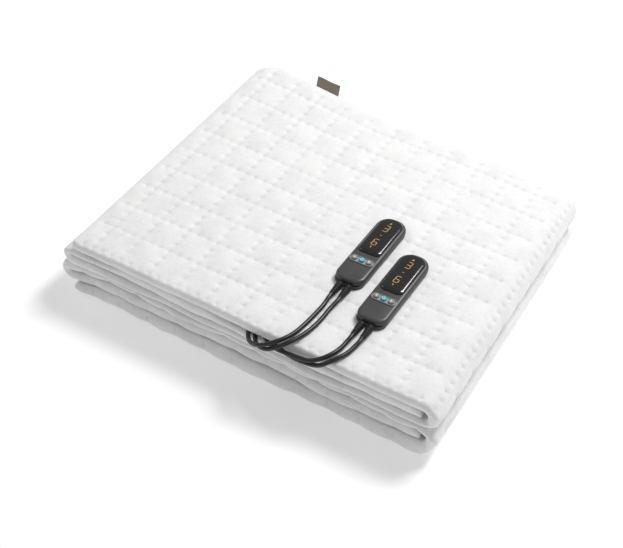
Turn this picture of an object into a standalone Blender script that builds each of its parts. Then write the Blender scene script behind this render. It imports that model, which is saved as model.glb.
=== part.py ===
"""Electric heated blanket, folded into a stack, with two handsets and their cords.

Metres, +Z up. The origin is under the middle of the stack, on the surface it lies on.
+X runs along the front lip from left to right, +Y from the front lip to the back fold.
"""
import math

import bmesh
import bpy
import numpy as np
from mathutils import Matrix, Vector

# ---------------------------------------------------------------- driving dimensions
CELL = 0.040            # one square of the quilting
CELLS_X0 = 3.03         # grid column of the origin
CELLS_Y0 = 1.12         # grid row of the origin
TOP = 0.084             # top face of the stack
GRID_TOP = 0.083        # height that the cord routes count from
GAP = 0.0003            # clearance between pieces that touch
TO_ORIGIN = (-0.0008, -0.0086, 0.0)   # moves the middle of the stack's foot to the origin

# the quilted sheet, before its layers are pressed together
PITCH = 0.0070          # from one layer to the next
SHEET = 0.0056          # thickness of one layer
HEM_RADIUS = 0.006      # a hem thins over this length
HEM_LEAST = 0.35        # thickness left at the very edge, as a share
PANEL_GAP_LOW = 0.0025  # between the lower and the middle panel
PANEL_GAP_TOP = 0.0015  # between the middle and the top panel
HALF_GAP = 0.0005       # each half of the stack from the back fold's middle plane

FRONT_FOLD = -0.2045    # y of the front folds' axes
BACK_FOLD = 0.1770      # y of the back fold's axis
BACK_ARC = 0.075        # length of sheet counted to the back fold
BACK_FLATTEN = 0.75     # the back fold is this much shallower than a half circle
FLAP_TURN = 0.012       # how far each hem flap runs into the back fold

LEFT_FOLD = -0.2292     # x of the left folds' axes
RIGHT_FOLD = 0.2322     # x of the right folds' axes
INNER_END = 0.0020      # the middle panel's free end stops this far past the right axis
TOP_HEM_X = -0.2225     # the top panel's free hem, at the front

SIDE_LEAN = 0.042       # how much the right side leans left towards the back
LOWER_SLIP = 0.009      # the lower half sits this much further left at the front
# how much further back and up the back fold comes, by x
BACK_PLACES = [-0.2292, -0.2025, -0.1492, -0.0221, 0.1051, 0.2322]
BACK_OUT = [0.011, 0.021, 0.015, 0.002, 0.001, -0.007]
BACK_UP = [0.001, 0.007, 0.005, 0.000, 0.000, 0.000]
PANEL_RECESS = {"upper": (0.0035, 0.0030, 0.0), "lower": (0.0045, 0.0050, 0.0010)}
CORNER_TAPER = 0.016    # the middle panel's free corner is pressed thin over this length

# heights of panel faces, counted from the back fold's middle plane, as folded flat ...
STEP_LOW = 2 * PITCH + PANEL_GAP_LOW
STEP_TOP = STEP_LOW + 2 * PITCH + PANEL_GAP_TOP
_B0 = HALF_GAP + (PITCH - SHEET) / 2
_B1 = _B0 + PITCH + SHEET
_HALF = np.array([_B0, _B1, _B0 + STEP_LOW, _B1 + STEP_LOW, _B0 + STEP_TOP, _B1 + STEP_TOP])
FLAT_LEVELS = np.concatenate([-_HALF[::-1], _HALF])
# ... and as they lie in the stack: along most of it, and at its left folds
LEVELS = np.array([0.0, 0.0181, 0.0197, 0.0330, 0.0338, 0.0425,
                   0.0433, 0.0520, 0.0530, 0.0640, 0.0700, 0.0840])
LEFT_LEVELS = np.array([0.0, 0.0097, 0.0114, 0.0225, 0.0255, 0.0385,
                        0.0395, 0.0535, 0.0565, 0.0640, 0.0700, 0.0830])
LEFT_ZONE = 0.080       # length from the left folds over which these give way to the others


# ---------------------------------------------------------------- small helpers
def clear_scene():
    for obj in list(bpy.data.objects):
        bpy.data.objects.remove(obj, do_unlink=True)


def material(name, colour, roughness, metallic=0.0):
    """A plain Principled material."""
    mat = bpy.data.materials.new(name)
    mat.use_nodes = True
    shader = mat.node_tree.nodes["Principled BSDF"]
    shader.inputs["Base Color"].default_value = (*colour, 1.0)
    shader.inputs["Roughness"].default_value = roughness
    shader.inputs["Metallic"].default_value = metallic
    return mat


def add_object(name, mesh, mat, smooth=35.0):
    """Link a mesh as an object, shaded smooth below the given angle."""
    mesh.materials.clear()
    mesh.materials.append(mat)
    mesh.shade_smooth()
    mesh.set_sharp_from_angle(angle=math.radians(smooth))
    obj = bpy.data.objects.new(name, mesh)
    bpy.context.scene.collection.objects.link(obj)
    return obj


def mesh_from(name, points, faces):
    mesh = bpy.data.meshes.new(name)
    mesh.from_pydata([tuple(p) for p in points], [], faces)
    mesh.update()
    return mesh


def smoothstep(value, low, high):
    share = np.clip((value - low) / (high - low), 0.0, 1.0)
    return share * share * (3.0 - 2.0 * share)


def at_cell(column, row, above):
    """A point from grid column and row, and millimetres above the quilting's plane."""
    return Vector(((column - CELLS_X0) * CELL, (row - CELLS_Y0) * CELL, GRID_TOP + above * 0.001))


# ---------------------------------------------------------------- the folded sheet
class FoldedSheet:
    """A flat sheet folded three times: hems to the middle, then in thirds, then in half.

    Sheet coordinates are u (left to right of the spread sheet), v (its foot to its head)
    and w (out of its plane). Each fold bends the space that the layers lie in.
    """

    def __init__(self):
        self.run = 2 * (BACK_FOLD - FRONT_FOLD) + BACK_ARC
        self.back = BACK_FOLD - FRONT_FOLD
        self.flap = self.back + FLAP_TURN
        self.small_turn = math.pi * PITCH / 2
        self.length_v = 2 * self.flap + 2 * self.small_turn + self.run
        self.step_low = STEP_LOW
        self.step_top = STEP_TOP
        self.left_turn = math.pi * self.step_low / 2
        self.right_turn = math.pi * self.step_top / 2
        self.inner = RIGHT_FOLD + INNER_END - LEFT_FOLD
        self.lower = RIGHT_FOLD - LEFT_FOLD
        self.upper = RIGHT_FOLD - TOP_HEM_X
        self.length_u = self.inner + self.left_turn + self.lower + self.right_turn + self.upper

    # breaks between flat runs and turns, along each way of the sheet
    def breaks_v(self):
        return np.cumsum([0.0, self.flap, self.small_turn, self.run, self.small_turn, self.flap])

    def breaks_u(self):
        return np.cumsum([0.0, self.inner, self.left_turn, self.lower, self.right_turn, self.upper])

    def hem_share(self, u, v):
        """Thickness of the sheet as a share of its full value: thin at every hem."""
        edge = np.minimum.reduce([u, self.length_u - u, v, self.length_v - v])
        close = np.clip(1.0 - edge / HEM_RADIUS, 0.0, 1.0)
        return HEM_LEAST + (1.0 - HEM_LEAST) * np.sqrt(np.clip(1.0 - close ** 2, 0.0, 1.0))

    def fold_hems(self, v, w):
        """Both ends of the sheet folded under, to the middle."""
        b = self.breaks_v()
        radius = PITCH / 2 + w
        first = np.clip((v - b[1]) / self.small_turn, 0.0, 1.0) * math.pi
        second = np.clip((v - b[3]) / self.small_turn, 0.0, 1.0) * math.pi
        near = (v <= b[2])
        far = (v >= b[3])
        y = v - b[2]
        z = radius.copy()
        y = np.where(near, np.where(v <= b[1], self.flap - v, -radius * np.sin(first)), y)
        z = np.where(near, -radius * np.cos(first), z)
        y = np.where(far, np.where(v >= b[4], self.run - (v - b[4]), self.run + radius * np.sin(second)), y)
        z = np.where(far, radius * np.cos(second), z)
        return y, z

    def fold_thirds(self, u, y, z):
        """The left third folded over first, then the right third over both."""
        b = self.breaks_u()
        lower_half = smoothstep(y, self.back, self.back + BACK_ARC)
        side = (1.0 - 2.0 * lower_half) * PITCH
        press = np.sqrt(np.clip(1.0 - np.clip(1.0 - u / CORNER_TAPER, 0.0, 1.0) ** 2, 0.0, 1.0))
        press = 0.40 + 0.60 * press
        z = np.where(u < CORNER_TAPER, side + (z - side) * press, z)
        left = np.clip((u - b[1]) / self.left_turn, 0.0, 1.0) * math.pi
        right = np.clip((u - b[3]) / self.right_turn, 0.0, 1.0) * math.pi
        left_radius = self.step_low / 2 - z
        right_radius = self.step_top / 2 - z
        x = np.select(
            [u <= b[1], u <= b[2], u <= b[3], u <= b[4]],
            [RIGHT_FOLD + INNER_END - u, LEFT_FOLD - left_radius * np.sin(left),
             LEFT_FOLD + (u - b[2]), RIGHT_FOLD + right_radius * np.sin(right)],
            RIGHT_FOLD - (u - b[4]))
        height = np.select(
            [u <= b[1], u <= b[2], u <= b[3], u <= b[4]],
            [self.step_low - z, self.step_low / 2 + left_radius * np.cos(left),
             z, self.step_top / 2 - right_radius * np.cos(right)],
            self.step_top - z)
        return x, height

    def recess(self, u, y):
        """How far each panel's front fold is set back, in the upper and the lower half."""
        b = self.breaks_u()
        places = [b[1] * 0.3, b[1], b[2], b[3], b[4], b[5]]
        share = []
        for middle, low, top in (PANEL_RECESS["upper"], PANEL_RECESS["lower"]):
            share.append(np.interp(u, places, [middle, middle, low, low, top, top]))
        near_front = np.clip(1.0 - y / self.back, 0.0, 1.0)
        near_end = np.clip((y - self.back - BACK_ARC) / self.back, 0.0, 1.0)
        return share[0] * near_front - share[1] * near_end

    def fold_back(self, y, height):
        """The far half folded under the near half, about the back fold."""
        rise = height + PITCH + HALF_GAP
        turn = np.clip((y - self.back) / BACK_ARC, 0.0, 1.0) * math.pi
        far = y >= self.back + BACK_ARC
        ahead = np.where(y <= self.back, y, self.back + BACK_FLATTEN * rise * np.sin(turn))
        ahead = np.where(far, 2 * self.back + BACK_ARC - y, ahead)
        return ahead, rise * np.cos(turn)

    def press(self, x, level):
        """Press the layers to the heights that they have in the stack."""
        along = np.interp(level, FLAT_LEVELS, LEVELS)
        left = np.interp(level, FLAT_LEVELS, LEFT_LEVELS)
        share = np.clip((x - LEFT_FOLD) / LEFT_ZONE, 0.0, 1.0)
        return along * share + left * (1.0 - share)

    def place(self, u, v, w):
        """Sheet coordinates to the folded stack."""
        b = self.breaks_u()
        y_flat, z_flat = self.fold_hems(v, w * self.hem_share(u, v))
        x, height = self.fold_thirds(u, y_flat, z_flat)
        slip = smoothstep(y_flat, self.back, self.run)
        under = np.clip((y_flat - self.back) / (BACK_ARC * 0.6), 0.0, 1.0)
        y_flat = y_flat + self.recess(u, y_flat)
        ahead, level = self.fold_back(y_flat, height)
        z = self.press(x, level)
        towards_back = np.clip(ahead / self.back, 0.0, 1.0)
        y = FRONT_FOLD + ahead + np.interp(x, BACK_PLACES, BACK_OUT) * towards_back ** 2
        lift = np.interp(x, BACK_PLACES, BACK_UP) * towards_back ** 4
        z = z + lift * np.clip((z - LEVELS[9]) / (LEVELS[11] - LEVELS[9]), 0.0, 1.0)
        across = np.clip((x - LEFT_FOLD) / (RIGHT_FOLD - LEFT_FOLD), 0.0, 1.0)
        lean = np.where(u >= b[3], 1.0 - (1.0 - across) * under, across)
        x = x - SIDE_LEAN * ahead * lean - LOWER_SLIP * slip * (1.0 - across)
        return np.stack([x, y, z], axis=-1)


def lines_between(breaks, counts):
    """Grid lines along one way of the sheet, so many steps in each stretch."""
    lines = []
    for start, end, count in zip(breaks[:-1], breaks[1:], counts):
        lines.extend(np.linspace(start, end, count, endpoint=False))
    lines.append(breaks[-1])
    return np.array(lines)


def blanket_lines(sheet):
    """Lines of the sheet's grid: close at folds and hems, wide on flat runs."""
    b = sheet.breaks_u()
    hem = HEM_RADIUS
    top_left = b[5] - (LEFT_FOLD + LEFT_ZONE - TOP_HEM_X)
    top_next = top_left + LEFT_ZONE * 2 / 3
    u_breaks = [0.0, hem / 3, hem, CORNER_TAPER, b[1] - LEFT_ZONE, b[1], b[2], b[2] + LEFT_ZONE,
                b[3], b[4], top_left, top_next, b[5] - hem, b[5] - hem / 3, b[5]]
    u_lines = lines_between(u_breaks, [1, 1, 2, 3, 3, 6, 3, 3, 8, 3, 2, 1, 1, 1])
    c = sheet.breaks_v()
    bend = sheet.back
    start, end = c[2] + bend, c[2] + bend + BACK_ARC
    hem_lines = [FLAP_TURN - hem, FLAP_TURN - hem / 3, FLAP_TURN]
    v_breaks = [0.0, hem / 3, hem, FLAP_TURN, c[1], c[2], start]
    v_breaks += [start + line for line in hem_lines]
    v_breaks += [end - line for line in hem_lines[::-1]]
    v_breaks += [end, c[3], c[4], c[5] - FLAP_TURN, c[5] - hem, c[5] - hem / 3, c[5]]
    v_lines = lines_between(v_breaks, [1, 1, 1, 2, 5, 2, 1, 1, 1, 6, 1, 1, 1, 2, 5, 2, 1, 1, 1])
    return u_lines, v_lines


def build_blanket(mat):
    """The quilted sheet as one closed solid: two faces and the edge between them."""
    sheet = FoldedSheet()
    u_lines, v_lines = blanket_lines(sheet)
    u, v = np.meshgrid(u_lines, v_lines, indexing="ij")
    outer = sheet.place(u, v, np.full_like(u, SHEET / 2))
    inner = sheet.place(u, v, np.full_like(u, -SHEET / 2))
    rows, columns = u.shape
    points = np.concatenate([outer.reshape(-1, 3), inner.reshape(-1, 3)])
    under = rows * columns

    def index(i, j):
        return i * columns + j

    faces = []
    for i in range(rows - 1):
        for j in range(columns - 1):
            a, b, c, d = index(i, j), index(i + 1, j), index(i + 1, j + 1), index(i, j + 1)
            faces.append((a, b, c, d))
            faces.append((under + a, under + d, under + c, under + b))
    for i in range(rows - 1):
        for j in (0, columns - 1):
            a, b = index(i, j), index(i + 1, j)
            quad = (a, under + a, under + b, b)
            faces.append(quad if j == 0 else quad[::-1])
    for j in range(columns - 1):
        for i in (0, rows - 1):
            a, b = index(i, j), index(i, j + 1)
            quad = (a, b, under + b, under + a)
            faces.append(quad if i == 0 else quad[::-1])
    mesh = mesh_from("blanket", points, faces)
    fix_normals(mesh)
    return add_object("blanket", mesh, mat, smooth=60.0)


def fix_normals(mesh):
    """Turn the faces of a closed mesh outwards and split them into triangles."""
    work = bmesh.new()
    work.from_mesh(mesh)
    bmesh.ops.recalc_face_normals(work, faces=work.faces)
    if work.calc_volume(signed=True) < 0.0:
        bmesh.ops.reverse_faces(work, faces=work.faces)
    bmesh.ops.triangulate(work, faces=work.faces)
    work.to_mesh(mesh)
    work.free()


# ---------------------------------------------------------------- hard pieces
HANDSET_LENGTH = 0.121
HANDSET_WIDTH = 0.0365
HANDSETS = {
    "left": {"column": 5.09, "row": -0.09, "turn": 1.5},
    "right": {"column": 6.38, "row": -1.09, "turn": 1.5},
}
CORNER = 0.0165         # radius of the handset's round ends
BASE_HEIGHT = 0.0046
SHELL_TOP = 0.0114
WINDOW_LENGTH = 0.0680
WINDOW_WIDTH = 0.0315
BEZEL_Y = -0.0230       # the button strip's middle, from the handset's middle
BEZEL_SIZE = (0.0300, 0.0100)
BEZEL_WALL = 0.0011
BUTTON_PITCH = 0.0092
BUTTON_RADIUS = 0.0034
BUTTON_TRAVEL = 0.0008
GUARD_APART = 0.0110    # between the two cord guards' axes
GUARD_LENGTH = 0.0200
GUARD_HEIGHT = 0.0051   # of their axes above the handset's foot


def round_outline(width, length, near_radius, far_radius, inset=0.0, steps=5):
    """A rectangle's outline with round corners: one radius at its near end, another at the far."""
    half_w, half_l = width / 2 - inset, length / 2 - inset
    points = []
    corners = [(1, -1, near_radius), (1, 1, far_radius), (-1, 1, far_radius), (-1, -1, near_radius)]
    for turn, (side, end, radius) in enumerate(corners):
        r = max(min(radius - inset, half_w), 0.0004)
        centre = (side * (half_w - r), end * (half_l - r))
        start = (turn - 1) * math.pi / 2
        for step in range(steps + 1):
            angle = start + step / steps * math.pi / 2
            points.append((centre[0] + r * math.cos(angle), centre[1] + r * math.sin(angle)))
    return points


def shell(name, outline, rings, mat, top_rise=0.0, shift=(0.0, 0.0)):
    """A closed solid from the same outline at several insets and heights."""
    points, faces = [], []
    count = len(outline(0.0))
    for inset, height in rings:
        points.extend((x + shift[0], y + shift[1], height) for x, y in outline(inset))
    for ring in range(len(rings) - 1):
        for i in range(count):
            a, b = ring * count + i, ring * count + (i + 1) % count
            faces.append((a, b, b + count, a + count))
    faces.append(tuple(range(count - 1, -1, -1)))
    last = (len(rings) - 1) * count
    if top_rise:
        points.append((shift[0], shift[1], rings[-1][1] + top_rise))
        top = len(points) - 1
        faces.extend((last + i, last + (i + 1) % count, top) for i in range(count))
    else:
        faces.append(tuple(range(last, last + count)))
    mesh = mesh_from(name, points, faces)
    fix_normals(mesh)
    return add_object(name, mesh, mat)


def ring_solid(name, outer, inner, low, high, mat):
    """A flat ring between two outlines of the same number of points."""
    count = len(outer)
    points = [(x, y, z) for z in (low, high) for loop in (outer, inner) for x, y in loop]
    faces = []
    for i in range(count):
        j = (i + 1) % count
        out_low, in_low, out_high, in_high = 0, count, 2 * count, 3 * count
        faces.append((out_low + i, out_low + j, out_high + j, out_high + i))
        faces.append((in_low + j, in_low + i, in_high + i, in_high + j))
        faces.append((out_high + i, out_high + j, in_high + j, in_high + i))
        faces.append((out_low + j, out_low + i, in_low + i, in_low + j))
    mesh = mesh_from(name, points, faces)
    fix_normals(mesh)
    return add_object(name, mesh, mat)


def turned(name, profile, mat, sides=12):
    """A solid turned about its own Y axis. The profile lists (distance along -Y, radius)."""
    points, faces = [], []
    for along, radius in profile:
        for i in range(sides):
            angle = 2 * math.pi * (i + 0.5) / sides
            points.append((radius * math.cos(angle), -along, radius * math.sin(angle)))
    for ring in range(len(profile) - 1):
        for i in range(sides):
            a, b = ring * sides + i, ring * sides + (i + 1) % sides
            faces.append((a, b, b + sides, a + sides))
    faces.append(tuple(range(sides - 1, -1, -1)))
    faces.append(tuple(range((len(profile) - 1) * sides, len(profile) * sides)))
    mesh = mesh_from(name, points, faces)
    fix_normals(mesh)
    return add_object(name, mesh, mat)


def guard_profile():
    """A tapered cord guard with five ribs."""
    profile = [(0.0, 0.0042), (0.0024, 0.0044)]
    ribs = 5
    first, pitch = 0.0034, 0.0032
    for rib in range(ribs):
        along = first + rib * pitch
        radius = 0.0043 - 0.00022 * rib
        profile.extend([(along - 0.0007, radius - 0.0010), (along, radius),
                        (along + 0.0011, radius), (along + 0.0018, radius - 0.0010)])
    profile.append((GUARD_LENGTH, 0.0029))
    return profile


def handset_frame(side):
    """Where a handset lies: its middle on the top of the stack, turned a little."""
    spec = HANDSETS[side]
    place = at_cell(spec["column"], spec["row"], 0.0)
    place.z = TOP + GAP
    return Matrix.Translation(place) @ Matrix.Rotation(math.radians(spec["turn"]), 4, "Z")


def guard_tip(side, which):
    """Where a cord leaves its guard, and the way it points."""
    frame = handset_frame(side)
    x = GUARD_APART / 2 * (-1 if which == "a" else 1)
    local = Vector((x, -HANDSET_LENGTH / 2 - GAP - GUARD_LENGTH, GUARD_HEIGHT))
    return frame @ local, (frame.to_3x3() @ Vector((0.0, -1.0, 0.0)))


def settle(obj, frame, origin=None):
    """Move a mesh to its place; a moving piece's origin goes to the middle of its foot."""
    obj.data.transform(frame)
    if origin is not None:
        point = frame @ origin
        obj.data.transform(Matrix.Translation(-point))
        obj.location = point
    return obj


def build_handset(side, mats):
    """Base, top shell, display window, button strip, three buttons and two cord guards."""
    frame = handset_frame(side)

    def body(inset):
        return round_outline(HANDSET_WIDTH, HANDSET_LENGTH, CORNER * 0.75, CORNER, inset)

    def cover(inset):
        return round_outline(HANDSET_WIDTH, HANDSET_LENGTH - 0.0030, CORNER * 0.75, CORNER, inset)

    def window(inset):
        return round_outline(WINDOW_WIDTH, WINDOW_LENGTH, 0.0080, 0.0140, inset)

    name = "handset_" + side
    base = shell(name + "_base", body,
                 [(0.0030, 0.0), (0.0012, 0.0008), (0.0005, 0.0020), (0.0005, BASE_HEIGHT)],
                 mats["case_dark"])
    settle(base, frame)
    low = BASE_HEIGHT + GAP
    top = shell(name + "_shell", cover,
                [(0.0004, low), (0.0, low + 0.0005), (0.0, 0.0080), (0.0006, 0.0096),
                 (0.0018, 0.0107), (0.0040, SHELL_TOP)], mats["case"], shift=(0.0, 0.0015))
    settle(top, frame)
    face = SHELL_TOP + GAP
    window_y = HANDSET_LENGTH / 2 - 0.0028 - WINDOW_LENGTH / 2
    glass = shell(name + "_window", window,
                  [(0.0024, face), (0.0016, face + 0.0006), (0.0020, face + 0.0014),
                   (0.0034, face + 0.0021), (0.0070, face + 0.0027)],
                  mats["window"], top_rise=0.0003, shift=(0.0, window_y))
    settle(glass, frame)

    width, depth = BEZEL_SIZE
    outer = round_outline(width, depth, depth / 2, depth / 2)
    inner = round_outline(width, depth, depth / 2, depth / 2, BEZEL_WALL)
    bezel = ring_solid(name + "_bezel", outer, inner, face, face + 0.0014, mats["rim"])
    settle(bezel, frame @ Matrix.Translation((0.0, BEZEL_Y, 0.0)))

    for index, kind in enumerate(("down", "power", "up")):
        x = (index - 1) * BUTTON_PITCH
        foot = face + BUTTON_TRAVEL + GAP
        profile = [(-foot, BUTTON_RADIUS), (-(foot + 0.0010), BUTTON_RADIUS),
                   (-(foot + 0.0014), BUTTON_RADIUS - 0.0005)]
        button = turned(name + "_button_" + kind, profile, mats["power" if kind == "power" else "button"])
        button.data.transform(Matrix.Rotation(math.radians(90.0), 4, "X"))
        fix_normals(button.data)
        place = frame @ Matrix.Translation((x, BEZEL_Y, 0.0))
        settle(button, place, origin=Vector((0.0, 0.0, foot)))

    for which in ("a", "b"):
        x = GUARD_APART / 2 * (-1 if which == "a" else 1)
        guard = turned(name + "_guard_" + which, guard_profile(), mats["rubber"], sides=10)
        start = Vector((x, -HANDSET_LENGTH / 2 - GAP, GUARD_HEIGHT))
        settle(guard, frame @ Matrix.Translation(start))


# ---------------------------------------------------------------- cords
CORD = 0.0050           # diameter
HANK_RADIUS = 0.0150    # of a hank's folds, at the cord's middle
HANK_RUN = 0.0800       # of a hank's straight runs
HANK_LAYERS = 4
HANK_STEP = 0.0052      # from one layer of a hank to the next
HANK_FOOT = 0.0014      # a hank lies on its tie
PLUG_LENGTH = 0.0480    # with its tapered tail
PLUG_WIDTH = 0.0260
PLUG_HEIGHT = 0.0130
PIN_LENGTH = 0.0185
PIN_RADIUS = 0.0020
PIN_APART = 0.0190
FLOOR_LINE = CORD / 2 + 0.0004   # height of a cord's middle on the floor
GAP_LINE = -16.0        # height of a cord's middle between the top panel and the next

# grid column, row and millimetres above the quilting, from each guard to inside the top fold
FRONT_ROUTES = {
    ("left", "a"): [(5.02, -2.45, 4.6), (5.015, -2.90, 4.2), (4.99, -3.40, 4.2), (4.93, -3.85, 4.4),
                    (4.79, -4.22, 4.6), (4.55, -4.49, 2.4), (4.29, -4.57, -3.0), (4.02, -4.49, -9.5),
                    (3.76, -4.30, -14.5), (3.56, -4.00, -16.0), (3.45, -3.60, -16.0)],
    ("left", "b"): [(5.25, -2.55, 4.6), (5.26, -2.95, 4.2), (5.23, -3.44, 4.2), (5.13, -3.88, 4.4),
                    (4.98, -4.22, 3.9), (4.75, -4.45, -0.5), (4.46, -4.52, -6.8), (4.16, -4.42, -12.0),
                    (3.91, -4.20, -15.6), (3.74, -3.90, -16.0), (3.63, -3.50, -16.0)],
    ("right", "a"): [(6.28, -3.38, 5.2), (6.25, -3.68, 4.3), (6.16, -3.98, 4.3), (6.00, -4.22, 2.9),
                     (5.77, -4.35, -0.6), (5.48, -4.37, -3.5), (5.15, -4.36, -5.5), (4.82, -4.33, -8.5),
                     (4.45, -4.22, -13.0), (4.15, -4.02, -15.8), (3.95, -3.72, -16.0), (3.83, -3.30, -16.0)],
    ("right", "b"): [(6.55, -3.38, 5.2), (6.50, -3.68, 4.3), (6.38, -3.98, 4.2), (6.23, -4.20, 1.9),
                     (6.02, -4.31, -3.4), (5.75, -4.33, -7.6), (5.40, -4.32, -9.9), (5.05, -4.28, -11.6),
                     (4.70, -4.16, -14.6), (4.38, -3.96, -16.0), (4.15, -3.66, -16.0), (4.02, -3.25, -16.0)],
}
# on from there, in metres: a blanket cord ends inside, a mains lead goes to its hank
BLANKET_CORDS = {
    ("left", "b"): [(0.0260, -0.120, 0.067), (0.0275, -0.070, 0.067), (0.0270, -0.020, 0.067)],
    ("right", "b"): [(0.0530, -0.120, 0.067), (0.0680, -0.050, 0.067), (0.0800, 0.030, 0.067),
                     (0.0850, 0.110, 0.067)],
}
MAINS_LEADS = {
    ("left", "a"): [
        (0.0150, -0.140, 0.067), (0.0080, -0.080, 0.067), (-0.0150, -0.010, 0.067),
        (-0.0600, 0.065, 0.067), (-0.1200, 0.117, 0.067), (-0.1750, 0.1350, 0.067),
        (-0.2200, 0.1370, 0.067), (-0.2340, 0.1370, 0.0665), (-0.2440, 0.1370, 0.0632),
        (-0.2510, 0.1368, 0.0560), (-0.2543, 0.1365, 0.0450), (-0.2556, 0.1370, 0.0330),
        (-0.2572, 0.1400, 0.0200), (-0.2590, 0.1470, 0.0095), (-0.2600, 0.1590, 0.0040),
        (-0.2605, 0.1750, FLOOR_LINE), (-0.2605, 0.2020, FLOOR_LINE), (-0.2590, 0.2240, FLOOR_LINE),
        (-0.2510, 0.2430, FLOOR_LINE), (-0.2370, 0.2530, FLOOR_LINE)],
    ("right", "a"): [
        (0.0350, -0.130, 0.067), (0.0395, -0.070, 0.067), (0.0415, -0.005, 0.067),
        (0.0300, 0.060, 0.067), (-0.0100, 0.115, 0.067), (-0.0750, 0.1430, 0.067),
        (-0.1500, 0.1490, 0.067), (-0.2200, 0.1490, 0.067), (-0.2330, 0.1490, 0.0665),
        (-0.2430, 0.1490, 0.0632), (-0.2500, 0.1490, 0.0560), (-0.2530, 0.1490, 0.0450),
        (-0.2536, 0.1500, 0.0310), (-0.2538, 0.1545, 0.0170), (-0.2538, 0.1640, 0.0070),
        (-0.2538, 0.1800, FLOOR_LINE), (-0.2530, 0.1960, FLOOR_LINE), (-0.2470, 0.2100, FLOOR_LINE),
        (-0.2350, 0.2185, FLOOR_LINE), (-0.2150, 0.2200, FLOOR_LINE), (-0.1700, 0.2195, FLOOR_LINE),
        (-0.1200, 0.2150, FLOOR_LINE), (-0.0750, 0.2110, FLOOR_LINE), (-0.0350, 0.2110, FLOOR_LINE)],
}
HANKS = {
    "left": {"start": (-0.2150, 0.2410), "enters": 1, "plug": (-0.1000, 0.2370)},
    "right": {"start": (0.0000, 0.2265), "enters": -1, "plug": (0.1180, 0.2240)},
}


def smooth_line(route, step):
    """Even points along a smooth curve through a route's own points."""
    points = np.array([tuple(p) for p in route])
    spans = np.maximum(np.linalg.norm(np.diff(points, axis=0), axis=1), 1e-6) ** 0.5
    knots = np.concatenate([[0.0], np.cumsum(spans)])
    ahead = 2 * points[-1] - points[-2]
    behind = 2 * points[0] - points[1]
    padded = np.vstack([behind, points, ahead])
    marks = np.concatenate([[-spans[0]], knots, [knots[-1] + spans[-1]]])
    fine = []
    for i in range(len(points) - 1):
        t = np.linspace(marks[i + 1], marks[i + 2], 24, endpoint=False)[:, None]
        t0, t1, t2, t3 = marks[i:i + 4]
        p0, p1, p2, p3 = padded[i:i + 4]
        a1 = (t1 - t) / (t1 - t0) * p0 + (t - t0) / (t1 - t0) * p1
        a2 = (t2 - t) / (t2 - t1) * p1 + (t - t1) / (t2 - t1) * p2
        a3 = (t3 - t) / (t3 - t2) * p2 + (t - t2) / (t3 - t2) * p3
        b1 = (t2 - t) / (t2 - t0) * a1 + (t - t0) / (t2 - t0) * a2
        b2 = (t3 - t) / (t3 - t1) * a2 + (t - t1) / (t3 - t1) * a3
        fine.append((t2 - t) / (t2 - t1) * b1 + (t - t1) / (t2 - t1) * b2)
    fine = np.vstack(fine + [points[-1:]])
    along = np.concatenate([[0.0], np.cumsum(np.linalg.norm(np.diff(fine, axis=0), axis=1))])
    count = max(int(round(along[-1] / step)), 2)
    marks = np.linspace(0.0, along[-1], count + 1)
    return np.stack([np.interp(marks, along, fine[:, k]) for k in range(3)], axis=-1)


def cord_route(side, which):
    """A cord's route from its guard to where it ends, or to its hank."""
    tip, way = guard_tip(side, which)
    route = [tip + way * GAP * 2, tip + way * 0.005 - Vector((0.0, 0.0, 0.0001))]
    route += [at_cell(*p) for p in FRONT_ROUTES[side, which]]
    if (side, which) in BLANKET_CORDS:
        route += [Vector(p) for p in BLANKET_CORDS[side, which]]
        return route
    route += [Vector(p) for p in MAINS_LEADS[side, which]]
    hank = HANKS[side]
    meet = (hank["start"][0] - 0.0126, hank["start"][1] + hank["enters"] * HANK_RADIUS)
    if route[-1].y < meet[1]:
        route.append(Vector(((route[-1].x + meet[0]) / 2, (route[-1].y + meet[1]) / 2, FLOOR_LINE)))
    route.append(Vector((meet[0], meet[1], FLOOR_LINE)))
    return route


def tube(name, points, mat):
    """A cord's tube with closed ends."""
    curve = bpy.data.curves.new(name, "CURVE")
    curve.dimensions = "3D"
    spline = curve.splines.new("POLY")
    spline.points.add(len(points) - 1)
    for point, place in zip(spline.points, points):
        point.co = (*place, 1.0)
    curve.bevel_depth = CORD / 2
    curve.bevel_resolution = 2
    curve.use_fill_caps = True
    curve.materials.append(mat)
    obj = bpy.data.objects.new(name, curve)
    bpy.context.scene.collection.objects.link(obj)
    return obj


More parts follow.
